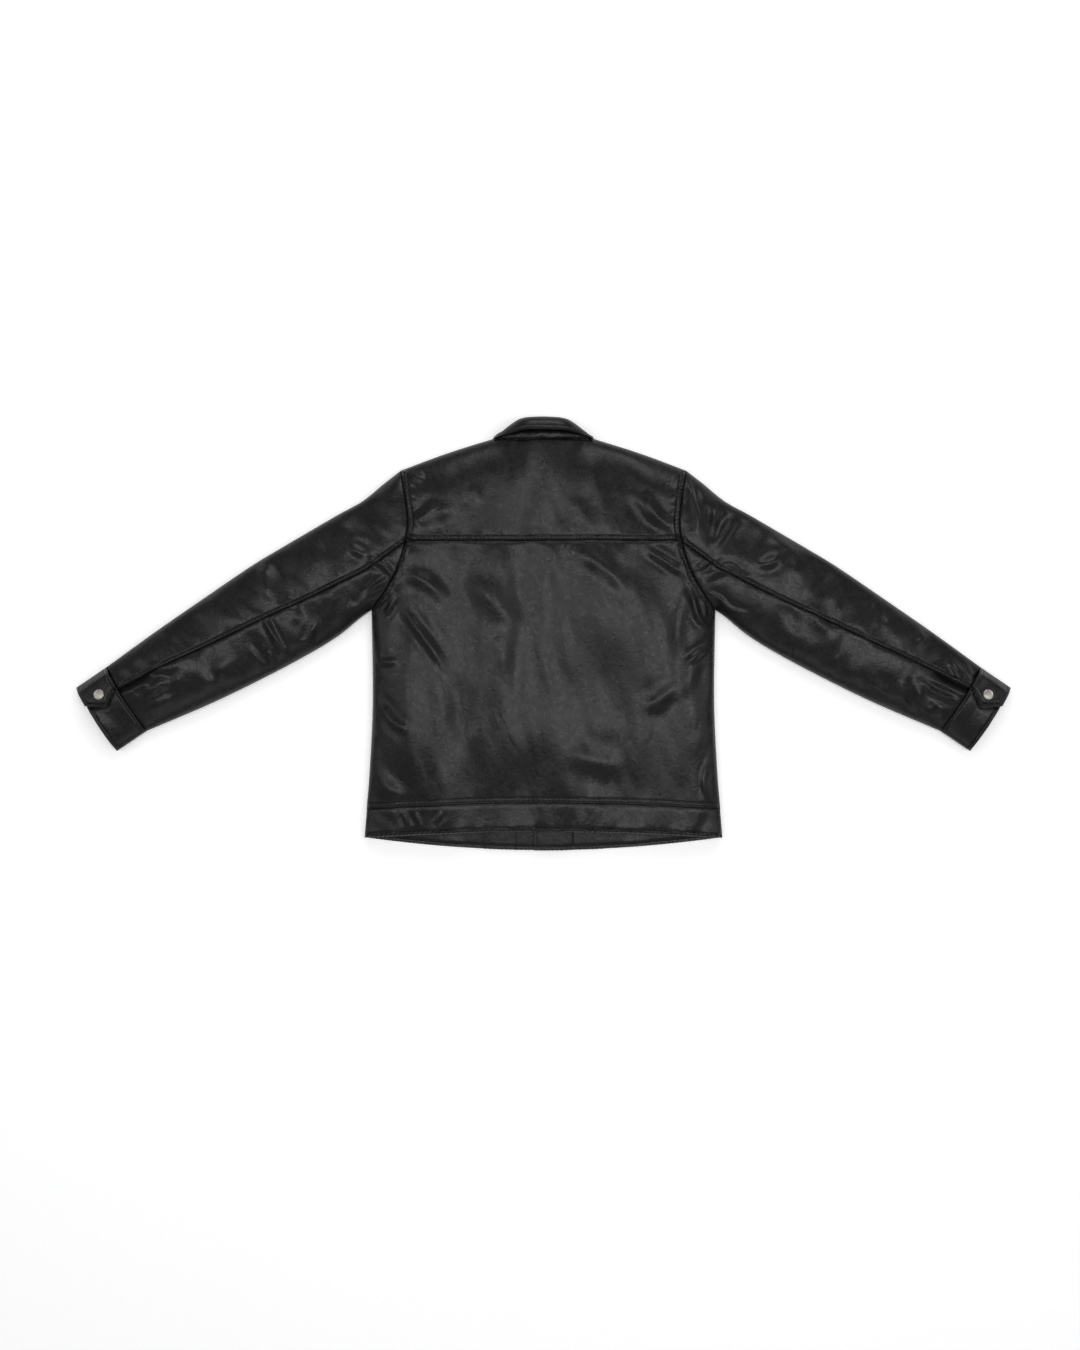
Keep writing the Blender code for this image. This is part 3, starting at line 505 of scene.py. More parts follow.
SEAM_STEPS = np.array([0, 0.45, 1.0, 1.7, 2.5, 3.4, 4.3, 5.2, 6.0, 6.7, 7.4, 8.2, 8.8, 9.4, 10.2,
                       11.6, 13.8])
FOLD_STEPS = np.array([0, 0.12, 0.4, 0.9, 1.6, 2.5, 3.6, 5.0, 6.8, 9.0, 11.6])
EDGE_STEPS = np.array([0, 0.12, 0.45, 1.0, 1.7, 2.5, 3.4, 4.3, 5.2, 6.0, 6.7, 7.4, 8.6, 10.4, 13.0])
ALONG = 1.8


def shares(length, step, start=None, end=None):
    """Shares from 0 to 1 with a fine start or end, and even steps between."""
    first = np.zeros(1) if start is None else start
    last = np.zeros(1) if end is None else end
    gap = length - first[-1] - last[-1]
    count = max(2, int(round(gap / step)))
    middle = first[-1] + gap * np.arange(1, count) / count
    return np.r_[first, middle, length - last[::-1]] / length


# ---------------- meshes

def new_object(name, vertices, faces, finish, smooth_angle=math.radians(50)):
    mesh = bpy.data.meshes.new(name)
    mesh.from_pydata((np.asarray(vertices) * MM).tolist(), [], faces)
    mesh.materials.append(finish)
    mesh.shade_smooth()
    mesh.set_sharp_from_angle(angle=smooth_angle)
    keep_rest(mesh)
    made = bpy.data.objects.new(name, mesh)
    bpy.context.scene.collection.objects.link(made)
    return made


def keep_rest(mesh):
    """Keeps each vertex's place at rest, which the materials use as their coordinates."""
    co = np.zeros(len(mesh.vertices) * 3, np.float32)
    mesh.vertices.foreach_get("co", co)
    mesh.attributes.new("rest_place", "FLOAT_VECTOR", "POINT").data.foreach_set("vector", co)


def grid_normals(grid):
    n = np.cross(np.gradient(grid, axis=1), np.gradient(grid, axis=0))
    return n / np.maximum(np.linalg.norm(n, axis=-1, keepdims=True), 1e-9)


def shell(name, grid, start, thickness, finish, up=1, normals=None):
    """A closed sheet under an outer surface, from start to start + thickness below it."""
    rows, cols = grid.shape[:2]
    n = grid_normals(grid) if normals is None else normals
    sample = n[rows // 2, cols // 2 if up < 0 else grid[rows // 2, :, 2].argmax(), 2]
    flip = sample * up < 0
    if flip:
        n = -n
    outer = (grid - n * start).reshape(-1, 3)
    inner = (grid - n * (start + thickness)).reshape(-1, 3)
    size = rows * cols
    r, c = np.meshgrid(np.arange(rows - 1), np.arange(cols - 1), indexing="ij")
    a = (r * cols + c).ravel()
    top = np.stack([a, a + 1, a + cols + 1, a + cols], -1)
    bottom = np.stack([a, a + cols, a + cols + 1, a + 1], -1) + size
    rim = [(0, k) for k in range(cols)] + [(k, cols - 1) for k in range(1, rows)]
    rim += [(rows - 1, k) for k in range(cols - 2, -1, -1)] + [(k, 0) for k in range(rows - 2, 0, -1)]
    loop = np.array([k * cols + m for k, m in rim])
    after = np.roll(loop, -1)
    wall = np.stack([after, loop, loop + size, after + size], -1)
    faces = np.vstack([top, bottom, wall])
    if flip:
        faces = faces[:, ::-1]
    return new_object(name, np.vstack([outer, inner]), faces.tolist(), finish)


# ---------------- materials

def node(tree, kind, **settings):
    made = tree.nodes.new(kind)
    for key, value in settings.items():
        setattr(made, key, value)
    return made


def start_material(name):
    made = bpy.data.materials.new(name)
    made.use_nodes = True
    tree = made.node_tree
    shader = tree.nodes["Principled BSDF"]
    place = node(tree, "ShaderNodeAttribute", attribute_name="rest_place")
    return made, tree, shader, place.outputs["Vector"]


def texture(tree, place, kind, scale, **settings):
    made = node(tree, kind)
    for key, value in settings.items():
        if key in made.inputs:
            made.inputs[key].default_value = value
        else:
            setattr(made, key, value)
    made.inputs["Scale"].default_value = scale
    tree.links.new(place, made.inputs["Vector"])
    return made


def ramp(tree, source, low, high, from_low=0.0, from_high=1.0):
    made = node(tree, "ShaderNodeMapRange", clamp=True)
    made.inputs["From Min"].default_value = from_low
    made.inputs["From Max"].default_value = from_high
    made.inputs["To Min"].default_value = low
    made.inputs["To Max"].default_value = high
    tree.links.new(source, made.inputs["Value"])
    return made.outputs["Result"]


def mixed_colour(tree, factor, dark, light):
    made = node(tree, "ShaderNodeMix", data_type="RGBA")
    made.inputs["A"].default_value = (*dark, 1)
    made.inputs["B"].default_value = (*light, 1)
    tree.links.new(factor, made.inputs["Factor"])
    return made.outputs["Result"]


def bump(tree, height, depth, normal=None, strength=1.0):
    made = node(tree, "ShaderNodeBump")
    made.inputs["Strength"].default_value = strength
    made.inputs["Distance"].default_value = depth
    tree.links.new(height, made.inputs["Height"])
    if normal is not None:
        tree.links.new(normal, made.inputs["Normal"])
    return made.outputs["Normal"]


def leather_material(name, dark, light, rough, grain_depth):
    made, tree, shader, place = start_material(name)
    tone = texture(tree, place, "ShaderNodeTexNoise", 55, Detail=5.0, Roughness=0.6)
    colour = mixed_colour(tree, ramp(tree, tone.outputs["Fac"], 0, 1, 0.35, 0.68), dark, light)
    tree.links.new(colour, shader.inputs["Base Color"])
    gloss = texture(tree, place, "ShaderNodeTexNoise", 140, Detail=6.0, Roughness=0.65)
    tree.links.new(ramp(tree, gloss.outputs["Fac"], rough - 0.07, rough + 0.09, 0.3, 0.7),
                   shader.inputs["Roughness"])
    pebbles = texture(tree, place, "ShaderNodeTexVoronoi", 760, feature="SMOOTH_F1", Smoothness=0.6)
    wrinkles = texture(tree, place, "ShaderNodeTexNoise", 210, noise_type="RIDGED_MULTIFRACTAL", Detail=3.0,
                       Roughness=0.5, Distortion=0.6)
    breaks = texture(tree, place, "ShaderNodeTexNoise", 70, Detail=4.0, Roughness=0.6, Distortion=1.2)
    first = bump(tree, breaks.outputs["Fac"], 0.0005)
    second = bump(tree, wrinkles.outputs["Fac"], 0.00005, first)
    third = bump(tree, pebbles.outputs["Distance"], grain_depth, second)
    tree.links.new(third, shader.inputs["Normal"])
    shader.inputs["Specular IOR Level"].default_value = SPECULAR
    return made


def cloth_material():
    made, tree, shader, place = start_material("black_lining_weave")
    both = node(tree, "ShaderNodeMath", operation="MULTIPLY")
    for number, way in enumerate("XY"):
        yarn = texture(tree, place, "ShaderNodeTexWave", 420, wave_type="BANDS", bands_direction=way,
                       Distortion=0.4)
        tree.links.new(yarn.outputs["Fac"], both.inputs[number])
    tree.links.new(mixed_colour(tree, both.outputs[0], (0.010, 0.010, 0.012), (0.024, 0.024, 0.028)),
                   shader.inputs["Base Color"])
    soft = texture(tree, place, "ShaderNodeTexNoise", 90, Detail=3.0)
    tree.links.new(ramp(tree, soft.outputs["Fac"], 0.48, 0.62), shader.inputs["Roughness"])
    tree.links.new(bump(tree, both.outputs[0], 0.00015), shader.inputs["Normal"])
    shader.inputs["Sheen Weight"].default_value = 0.15
    return made


def metal_material():
    made, tree, shader, place = start_material("satin_nickel_plate")
    wear = texture(tree, place, "ShaderNodeTexNoise", 600, Detail=4.0, Roughness=0.7)
    tree.links.new(mixed_colour(tree, ramp(tree, wear.outputs["Fac"], 0, 1, 0.35, 0.7),
                                (0.33, 0.31, 0.275), (0.46, 0.435, 0.395)), shader.inputs["Base Color"])
    shader.inputs["Metallic"].default_value = 1.0
    tree.links.new(ramp(tree, wear.outputs["Fac"], 0.26, 0.42, 0.3, 0.7), shader.inputs["Roughness"])
    return made


def thread_material():
    made, tree, shader, place = start_material("black_thread")
    twist = texture(tree, place, "ShaderNodeTexNoise", 1500, Detail=2.0)
    tree.links.new(mixed_colour(tree, twist.outputs["Fac"], (0.012, 0.012, 0.013), (0.045, 0.045, 0.048)),
                   shader.inputs["Base Color"])
    tree.links.new(ramp(tree, twist.outputs["Fac"], 0.5, 0.7), shader.inputs["Roughness"])
    return made


SPECULAR = 0.27
GRAIN_DEPTH = 0.00009
leather = leather_material("black_leather_grain", (0.0055, 0.0054, 0.0062), (0.0105, 0.0102, 0.0114), 0.29,
                           GRAIN_DEPTH)
inside = leather_material("black_leather_inside", (0.006, 0.006, 0.0065), (0.012, 0.012, 0.0125), 0.44,
                          GRAIN_DEPTH)
lining = cloth_material()
nickel = metal_material()
thread = thread_material()


# ---------------- baking the pieces in place, and hiding the CAD parts they replace

ARM_MIDDLE = np.array((257.75, 155.5))
ARM_ACROSS = np.array((0.978300, 0.207194))
ARM_REACH = 45.0
ARM_HEIGHT = 46.0
FRONT_BEND = (95.0, 75.0)
NAMES = {-1: "left", 1: "right"}


def bends_at_arm(piece, side):
    ends = [ARM_MIDDLE + ARM_ACROSS * reach for reach in (-ARM_REACH, ARM_REACH)]
    start, end = [(x * side * MM, y * MM, ARM_HEIGHT * MM) for x, y in ends]
    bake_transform(piece)
    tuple(start)
    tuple(end)


def bends_at_front(piece, side):
    start, end = [(side * x * MM, 0, 0) for x in FRONT_BEND]
    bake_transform(piece)
    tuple(start)
    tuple(end)


def sheet_of(piece, flat, slot, *nodes, share=1.0):
    """Hides the CAD nodes that a sewn piece stands for. The size it was cut to, the share of that rectangle
    that its cut fills and its finish are not used."""
    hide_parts(*nodes)


# ---------------- stitching

STITCH = 3.0
STITCH_PITCH = 4.1
THREAD_RADIUS = 0.32


def stitches(name, lines, height, up=1):
    """Stitches along plan lines, pressed into the leather at their ends."""
    middles, runs = [], []
    for points in lines:
        steps = np.linalg.norm(np.diff(points, axis=0), axis=1)
        length = np.r_[0, np.cumsum(steps)]
        count = int(length[-1] / STITCH_PITCH)
        for k in range(count):
            at = (k + 0.5) * STITCH_PITCH
            ends = [np.array([np.interp(at + d, length, points[:, axis]) for axis in (0, 1)])
                    for d in (-STITCH / 2, STITCH / 2)]
            middles.append((ends[0] + ends[1]) / 2)
            runs.append(ends[1] - ends[0])
    middles, runs = np.array(middles), np.array(runs)
    z = height(middles[:, 0], middles[:, 1])
    half = runs / 2
    rise = height(middles[:, 0] + half[:, 0], middles[:, 1] + half[:, 1]) \
        - height(middles[:, 0] - half[:, 0], middles[:, 1] - half[:, 1])
    t = np.column_stack([runs, rise])
    t /= np.linalg.norm(t, axis=1, keepdims=True)
    b = np.cross(t, (0, 0, 1.0))
    b /= np.linalg.norm(b, axis=1, keepdims=True)
    n = np.cross(b, t) * up
    centre = np.column_stack([middles, z])
    rings = ((-0.5, 0.4, -0.30), (-0.32, 0.92, 0.02), (0, 1.0, 0.10), (0.32, 0.92, 0.02), (0.5, 0.4, -0.30))
    vertices = []
    for place, size, lift in rings:
        for k in range(6):
            angle = math.pi * k / 3
            vertices.append(centre + t * place * STITCH + n * (lift + math.sin(angle) * size * THREAD_RADIUS)
                            + b * math.cos(angle) * size * THREAD_RADIUS)
    vertices = np.stack(vertices, 1)
    count = len(middles)
    faces = []
    for start in range(0, count * 30, 30):
        for ring in range(4):
            for k in range(6):
                a, c = start + ring * 6 + k, start + ring * 6 + (k + 1) % 6
                faces.append((a, c, c + 6, a + 6))
        faces.append(tuple(start + k for k in range(5, -1, -1)))
        faces.append(tuple(start + 24 + k for k in range(6)))
    made = new_object(name, vertices.reshape(-1, 3), faces, thread, math.radians(80))
    return made


def offset_line(points, amount):
    """A line moved to its left by an amount."""
    run = np.gradient(points, axis=0)
    run /= np.linalg.norm(run, axis=1, keepdims=True)
    return points + np.stack([-run[:, 1], run[:, 0]], -1) * amount


def dense(points, step=1.5):
    steps = np.r_[0, np.cumsum(np.linalg.norm(np.diff(points, axis=0), axis=1))]
    at = np.linspace(0, steps[-1], max(2, int(steps[-1] / step)))
    return np.stack([np.interp(at, steps, points[:, 0]), np.interp(at, steps, points[:, 1])], -1)


def cut(points, keep):
    return points[keep(points[:, 0], points[:, 1])]


# ---------------- the back

def back_plan():
    """The back panel, from the waistband's seam to the yoke's, over both halves."""
    rows = shares(430, 3.0, SEAM_STEPS, SEAM_STEPS)
    half = shares(287, ALONG, None, EDGE_STEPS)
    us = np.r_[-half[::-1], half[1:]]
    rough_x = us[None, :] * 287
    low = back_seam(rough_x)
    y = low + (YOKE_SEAM - low) * rows[:, None]
    x = us[None, :] * torso_x(y)
    return x, y, len(half) - 1


def topline(x):
    """The neck seam and the shoulder folds as one line."""
    x = np.abs(x)
    shoulder = np.interp(x, SHOULDER_POINTS[:, 0], SHOULDER_POINTS[:, 1])
    return np.where(x < NECK_X, neck_seam(x), shoulder)


def yoke_plan():
    rows = shares(150, 2.8, SEAM_STEPS, EDGE_STEPS)[:, None]
    half = shares(228, ALONG, None, SEAM_STEPS)
    us = np.r_[-half[::-1], half[1:]][None, :]
    corner_x, corner_y = ARMHOLE[-1]
    edge_y = YOKE_SEAM + (corner_y - YOKE_SEAM) * rows
    edge_x = torso_x(edge_y)
    x0, x1 = us * torso_x(YOKE_SEAM), us * corner_x
    straight = x0 + (x1 - x0) * rows
    bow = edge_x - (torso_x(YOKE_SEAM) + (corner_x - torso_x(YOKE_SEAM)) * rows)
    x = straight + us * bow
    y = YOKE_SEAM + (topline(us * corner_x) - YOKE_SEAM) * rows
    return x, y, half.size - 1


def match_cut(piece, column, rows, cols, normals):
    """Gives the two halves of a piece the same shading where they meet."""
    mesh = piece.data
    count = len(mesh.loops)
    index = np.zeros(count, int)
    mesh.loops.foreach_get("vertex_index", index)
    face_of = np.repeat(np.arange(len(mesh.polygons)), [p.loop_total for p in mesh.polygons])
    on_top = (index < rows * cols) & (face_of < (rows - 1) * (cols - 1))
    at_cut = on_top & (index % cols == column)
    wanted = np.zeros((count, 3))
    wanted[at_cut] = normals[index[at_cut] // cols, column]
    mesh.normals_split_custom_set(wanted.tolist())


def halves(name, plan, height, start, thickness, finish, flat, replaced, share):
    """A piece of the back, in two halves that meet at the middle, one for each side."""
    x, y, middle = plan
    grid = np.dstack([x, y, height(x, y)])
    n = grid_normals(grid)
    slot = "lining" if finish is lining else "leather"
    for side in (-1, 1):
        keep = slice(0, middle + 1) if side < 0 else slice(middle, None)
        part, normals = grid[:, keep], n[:, keep]
        piece = shell(f"{name}_{NAMES[side]}", part, start, thickness, finish, normals=normals)
        column = part.shape[1] - 1 if side < 0 else 0
        match_cut(piece, column, *part.shape[:2], normals)
        bends_at_arm(piece, side)
        sheet_of(piece, flat, slot, replaced, share=share)


def lining_height(x, y):
    """The back lining follows the drape and the folds of the leather over it, but not its seams."""
    calm = smoothstep(0, 26, from_fold(x, y))
    return upper_form(x, y) + calm * (drape(x, y) + fold_relief(x, y))


def make_back():
    x, y, middle = back_plan()
    halves("back", (x, y, middle), upper, 0, LEATHER, leather, (0.300, 0.435), "back_panel", 0.95)
    halves("yoke", yoke_plan(), upper, 0, LEATHER, leather, (0.250, 0.175), "back_yoke", 0.88)
    columns = np.unique(np.r_[np.arange(0, x.shape[1], 3), middle, x.shape[1] - 1])
    columns = np.unique(np.r_[columns[columns <= middle], x.shape[1] - 1 - columns[columns <= middle]])
    rows = np.unique(np.r_[np.arange(0, x.shape[0], 3), x.shape[0] - 1])
    plan = (x[np.ix_(rows, columns)] * 0.994, y[np.ix_(rows, columns)], len(columns) // 2)
    halves("back_lining", plan, lining_height, LEATHER + 2.2, CLOTH, lining, (0.300, 0.435), "back_lining",
           0.95)


def make_back_band():
    rows = shares(47, 2.4, SEAM_STEPS[:11], SEAM_STEPS)[:, None]
    half = shares(290, ALONG, None, FOLD_STEPS)
    us = np.r_[-half[::-1], half[1:]][None, :]
    edge = torso_x(BACK_HEM + BACK_BAND * rows)
    x = us * edge
    low, high = back_hem(x), back_seam(x)
    y = low + (high - low) * rows
    piece = shell("waistband_back", np.dstack([x, y, upper(x, y)]), 0, BAND, leather)
    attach(piece, "torso")
    sheet_of(piece, (0.590, 0.052), "leather", "back_waistband")


# ---------------- the fronts

def band_relief(x, y, edge=None):
    """Topstitching of the front waistband: the dips beside the hem and, if given, beside a front edge."""
    up = y - front_hem(x)
    pucker = 0.35 * np.sin(x * 0.95 + 2.0 * noise(x, y, 15, 30, 34))
    pucker = pucker * smoothstep(7, 5, up) * smoothstep(0, 2, up)
    dip = np.exp(-((up - 6.0) / 1.0) ** 2)
    if edge is not None:
        dip = dip + np.exp(-((x - edge - 5.0) / 1.0) ** 2) + np.exp(-((x - edge - 64.0) / 1.2) ** 2)
        pucker = pucker + 0.8 * np.exp(-((x - edge - 2.0) / 1.8) ** 2)
    return (0.9 * (1 - np.clip(dip, 0, 1)) + pucker) * smoothstep(44, 34, up)


def front_height(side):
    def height(x, y):
        ax = np.abs(x)
        ramp_up = FLAP_LIFT * (1 - smoothstep(HINGE_X, HINGE_X + FLAP_RAMP, ax))
        if side > 0:
            ramp_up = ramp_up + OVERLAP_LIFT * (1 - smoothstep(24, 56, x))
        return np.maximum(lower_form(x, y), ramp_up)
    return height


def make_front_side(side):
    name = NAMES[side]
    rows = shares(610, 4.2, SEAM_STEPS[::2], EDGE_STEPS)[:, None]
    us = shares(190, 4.2, SEAM_STEPS[::2], EDGE_STEPS)[None, :]
    corner_x, corner_y = ARMHOLE[-1]
    edge_low = front_seam(SIDE_X)
    edge_y = edge_low + (corner_y - edge_low) * rows
    edge_x = torso_x(edge_y)
    x = PANEL_SEAM + us * (edge_x - PANEL_SEAM)
    low = front_seam(x)
    high = topline(PANEL_SEAM + us * (corner_x - PANEL_SEAM))
    y = low + (high - low) * rows
    over = np.dstack([x * side, y, side_front(x, y)])
    piece = shell(f"front_side_{name}_panel", over, 0, LEATHER, leather, -1)
    bends_at_arm(piece, side)
    sheet_of(piece, (0.205, 0.640), "leather", f"front_side_{name}", share=0.82)
    pick = np.nonzero(rows[:, 0] < 0.56)[0][::2]
    part = over[pick][:, ::2]
    piece = shell(f"side_lining_{name}_cloth", part, LEATHER + 0.8, CLOTH, lining, -1)
    bends_at_arm(piece, side)
    sheet_of(piece, (0.205, 0.345), "lining", f"side_lining_{name}")

    rows = shares(47, 4, SEAM_STEPS[:11], SEAM_STEPS[:11])[:, None]
    us = shares(190, 1.9, None, FOLD_STEPS)[None, :]
    edge = torso_x(-326 + 45 * rows)
    x = PANEL_SEAM + us * (edge - PANEL_SEAM)
    y = front_hem(x) + (front_seam(x) - front_hem(x)) * rows
    z = side_front(x, y) + band_relief(x, y) * smoothstep(0, 4, from_fold(x, y))
    piece = shell(f"waistband_side_{name}", np.dstack([x * side, y, z]), 0, BAND, leather, -1)
    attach(piece, "torso")
    sheet_of(piece, (0.205, 0.052), "leather", f"side_waistband_{name}")


def neckline_y(x):
    return np.interp(np.maximum(np.abs(x), NECKLINE[-1][0]), NECK_POINTS[:, 0], NECK_POINTS[:, 1])


def front_piece(name, side, x, y, z, start, thickness, finish):
    piece = shell(name, np.dstack([(x + 0 * y) * side, y, z]), start, thickness, finish, -1)
    bends_at_front(piece, side)
    return piece


def make_front(side):
    name = NAMES[side]
    edge = RIGHT_EDGE if side > 0 else -LEFT_EDGE
    height = front_height(side)
    us = shares(PANEL_SEAM - edge, 4.0, SEAM_STEPS[::2], SEAM_STEPS[::2])[None, :]
    x = edge + (PANEL_SEAM - edge) * us
    rows = shares(560, 4.2, SEAM_STEPS[::2], SEAM_STEPS[::2])[:, None]
    low = front_seam(x)
    high = np.where(x < NECK_X, neckline_y(x), topline(x))
    y = low + (high - low) * rows
    x = x + 0 * y
    panel = front_piece(f"front_{name}_panel", side, x, y, height(x, y), 0, LEATHER, leather)
    sheet_of(panel, (0.120, 0.640), "leather", f"front_{name}", share=0.88)

    x = edge + FACING_WIDTH * shares(FACING_WIDTH, 4.0)[None, :]
    low, high = front_seam(x) + 0.3, neckline_y(x) - 2
    y = low + (high - low) * rows
    x = x + 0 * y
    piece = front_piece(f"facing_{name}_strip", side, x, y, height(x, y), LEATHER + LAYER_GAP, FACING, inside)
    sheet_of(piece, (0.065, 0.600), "leather", f"facing_{name}")

    rows = shares(47, 4, SEAM_STEPS[:11], SEAM_STEPS[:11])[:, None]
    x = edge + (PANEL_SEAM - edge) * shares(PANEL_SEAM - edge, 1.4, SEAM_STEPS)[None, :]
    y = front_hem(x) + (front_seam(x) - front_hem(x)) * rows
    x = x + 0 * y
    z = height(x, y) + band_relief(x, y, edge)
    piece = front_piece(f"waistband_front_{name}", side, x, y, z, 0, LEATHER + LAYER_GAP + FACING, leather)
    sheet_of(piece, (0.120, 0.052), "leather", f"waistband_end_{name}")

    inner = smooth(((8, 232), (40, 240), (64, 262), (76, 290), (80, 314)))
    outer = smooth(((52, 158), (60, 184), (68, 212), (76, 245), (83, 280)))
    rows = shares(70, 4, SEAM_STEPS[:6:2], SEAM_STEPS[:6:2])[:, None, None]
    plan = inner[None] + (outer[None] - inner[None]) * rows
    grid = np.dstack([plan[..., 0] * side, plan[..., 1], 0.02 + 0 * plan[..., 0]])
    piece = shell(f"collar_front_{name}", grid, 0, FLAP_LIFT - LAYER_GAP, leather, -1)
    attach(piece, f"front_{name}_flap")
    sheet_of(piece, (0.090, 0.100), "leather", f"collar_point_{name}", share=0.5)


# ---------------- collar, neck facing and loop

def roll_line(x):
    share = np.clip(np.abs(x) / NECK_X, 0, 1)
    y = np.interp(np.abs(x), ROLL_POINTS[:, 0], ROLL_POINTS[:, 1])
    z = upper_form(x, neck_seam(x)) + 2.0 * (1 - share)
    return y, z


LEAF_SECTION = ((0.0, -2.0), (0.3, 1.2), (-0.3, 6.5), (-2.0, 11.8), (-5.6, 16.2), (-10.5, 19.0),
                (-16.0, 20.4), (-20.2, 19.4), (-22.4, 16.8), (-21.4, 14.6))
FACING_START = LEATHER + 3.2
LEAF_TAPER = ((0, 1.0), (30, 0.98), (44, 0.88), (60, 0.56), (72, 0.27), (82, 0.12))


def make_collar():
    us = shares(2 * NECK_X, 2.4)
    x = (us * 2 - 1) * (NECK_X - 1)
    roll_y, roll_z = roll_line(x)
    rows = shares(34, 1.6)[:, None]
    seam_y = neck_seam(x)
    seam_z = upper(x, seam_y)
    xs = x[None] + 0 * rows
    y = seam_y + (roll_y - seam_y) * rows
    z = seam_z + (roll_z + 1 - seam_z) * rows
    crumple = 1.5 * noise(xs, y, 17, 26, 51) + 0.8 * noise(xs, y, 8, 12, 52) + 0.3 * noise(xs, y, 4, 5, 53)
    z = z + crumple * np.sin(math.pi * rows) ** 0.6 - 7.5 * np.exp(-((rows - 0.50) / 0.13) ** 2) \
        - 0.9 * (1 - smoothstep(0, 0.06, rows))
    piece = shell("collar_stand_band", np.dstack([xs, y, z]), 0, BAND - 0.4, leather)
    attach(piece, "torso")
    sheet_of(piece, (0.164, 0.031), "leather", "collar_stand")

    section = smooth(LEAF_SECTION, 7)
    taper = np.interp(np.abs(x), *zip(*smooth(LEAF_TAPER)))
    rise = 0.06 + 0.94 * taper
    grid = np.zeros((len(section), len(x), 3))
    for r, (dy, dz) in enumerate(section):
        t = r / (len(section) - 1)
        wave = 1.1 * noise(x, x * 0 + 9 * t, 23, 3, 61) * t
        grid[r] = np.stack([x, roll_y + dy * taper + wave, roll_z + dz * rise + 0.8 * wave], -1)
    piece = shell("collar_leaf_band", grid, 0, BAND - 0.2, leather)
    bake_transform(piece)
    sheet_of(piece, (0.172, 0.044), "leather", "collar_leaf", share=0.68)

    xs = np.linspace(-62, 62, 45)[None, :]
    rows = np.linspace(0, 1, 18)[:, None]
    dip = 252 + 30 * (xs / 62) ** 2
    y = dip + (neck_seam(xs) - 2 - dip) * rows
    x2 = xs + 0 * y
    piece = shell("neck_facing_piece", np.dstack([x2, y, upper_form(x2, y)]), FACING_START, FACING, inside)
    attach(piece, "torso")
    sheet_of(piece, (0.125, 0.070), "leather", "neck_facing", share=0.85)
    xs = np.linspace(-32, 32, 41)
    sag = 6.0 * (1 - (xs / 32) ** 4)
    y = np.linspace(297, 307.5, 5)[:, None] + 0 * xs
    x2 = xs[None] + 0 * y
    base = upper_form(x2, y).min(0) - FACING_START - FACING - 0.8 - sag
    piece = shell("hanger_loop_strap", np.dstack([x2, y, base[None] + 0 * y]), 0, FACING, inside)
    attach(piece, "torso")
    sheet_of(piece, (0.070, 0.0105), "leather", "hanger_loop")


# ---------------- sleeves and cuffs

def span(v_from, v_to, width, first, last, count):
    """Shares of the width from one place to another, with fine steps in mm at both ends."""
    total = np.abs(v_to - v_from) * width
    middle_from = first[-1] if len(first) else 0.0
    last_size = last[-1] if len(last) else 0.0
    t = np.linspace(0, 1, count + 2)[1:-1]
    middle = middle_from + (total - last_size - middle_from)[:, None] * t
    parts = [np.repeat(np.asarray(first)[None], len(total), 0), middle,
             total[:, None] - np.asarray(last)[::-1][None]]
    reach = np.concatenate(parts, 1)
    return v_from[:, None] + np.sign(v_to - v_from)[:, None] * reach / width[:, None]


def slit_share(s):
    return smoothstep(SLIT_START, 0.93, s)


def sleeve_columns(s, through_top):
    """The shares round a sleeve panel and which columns are on the upper side."""
    ends = sleeve_plan(s, np.ones_like(s)) - sleeve_plan(s, np.zeros_like(s))
    width = np.linalg.norm(ends, axis=-1)
    back, front = back_seam_share(s), np.full_like(s, FRONT_SEAM_SHARE)
    fold = np.full_like(s, 1.0 if through_top else 0.0)
    over = span(back, fold, width, SEAM_STEPS, FOLD_STEPS, 26)
    under = span(fold, front, width, FOLD_STEPS[1:], SEAM_STEPS[:8:2], 30 if through_top else 12)
    is_upper = np.r_[np.ones(over.shape[1], bool), np.zeros(under.shape[1], bool)]
    return np.concatenate([over, under], 1), is_upper, width


def make_sleeve(side):
    name = NAMES[side]
    s = shares(570, 2.2, SEAM_STEPS, SEAM_STEPS)
    grids = {}
    for part, through_top in (("upper", True), ("under", False)):
        v, is_upper, width = sleeve_columns(s, through_top)
        plan = sleeve_plan(s[:, None], v)
        x, y = plan[..., 0] * side, plan[..., 1]
        z = np.where(is_upper[None, :], upper(x, y), lower(x, y))
        from_seam = np.abs(v - back_seam_share(s)[:, None]) * width[:, None]
        slit = slit_share(s)[:, None] * is_upper[None, :]
        if through_top:
            z = z + 1.6 * slit * np.exp(-(from_seam / 9) ** 2)
        else:
            z = z - 7.5 * slit * np.exp(-(from_seam / 7.5) ** 2) \
                + 1.6 * slit * np.exp(-((from_seam - 13) / 5) ** 2)
        grids[part] = np.dstack([x, y, z])
        piece = shell(f"{part}_sleeve_{name}_panel", grids[part], 0, LEATHER, leather)
        bends_at_arm(piece, side)
        size, share = ((0.290, 0.610), 0.70) if through_top else ((0.190, 0.600), 0.58)
        sheet_of(piece, size, "leather", f"{part}_sleeve_{name}", share=share)
    tube = np.concatenate([grids["upper"][::3, ::-3], grids["under"][::3, 3::3]], axis=1)
    piece = shell(f"sleeve_lining_{name}_cloth", tube, LEATHER + 2.0, CLOTH, lining)
    bends_at_arm(piece, side)
    sheet_of(piece, (0.440, 0.610), "lining", f"sleeve_lining_{name}", share=0.66)


def tab_reach(u):
    """How far the tab reaches from the fold, which makes its point."""
    off = np.abs(2 * u / CUFF_LENGTH - 1)
    return TAB_POINT - (TAB_POINT - TAB_SIDE) * off


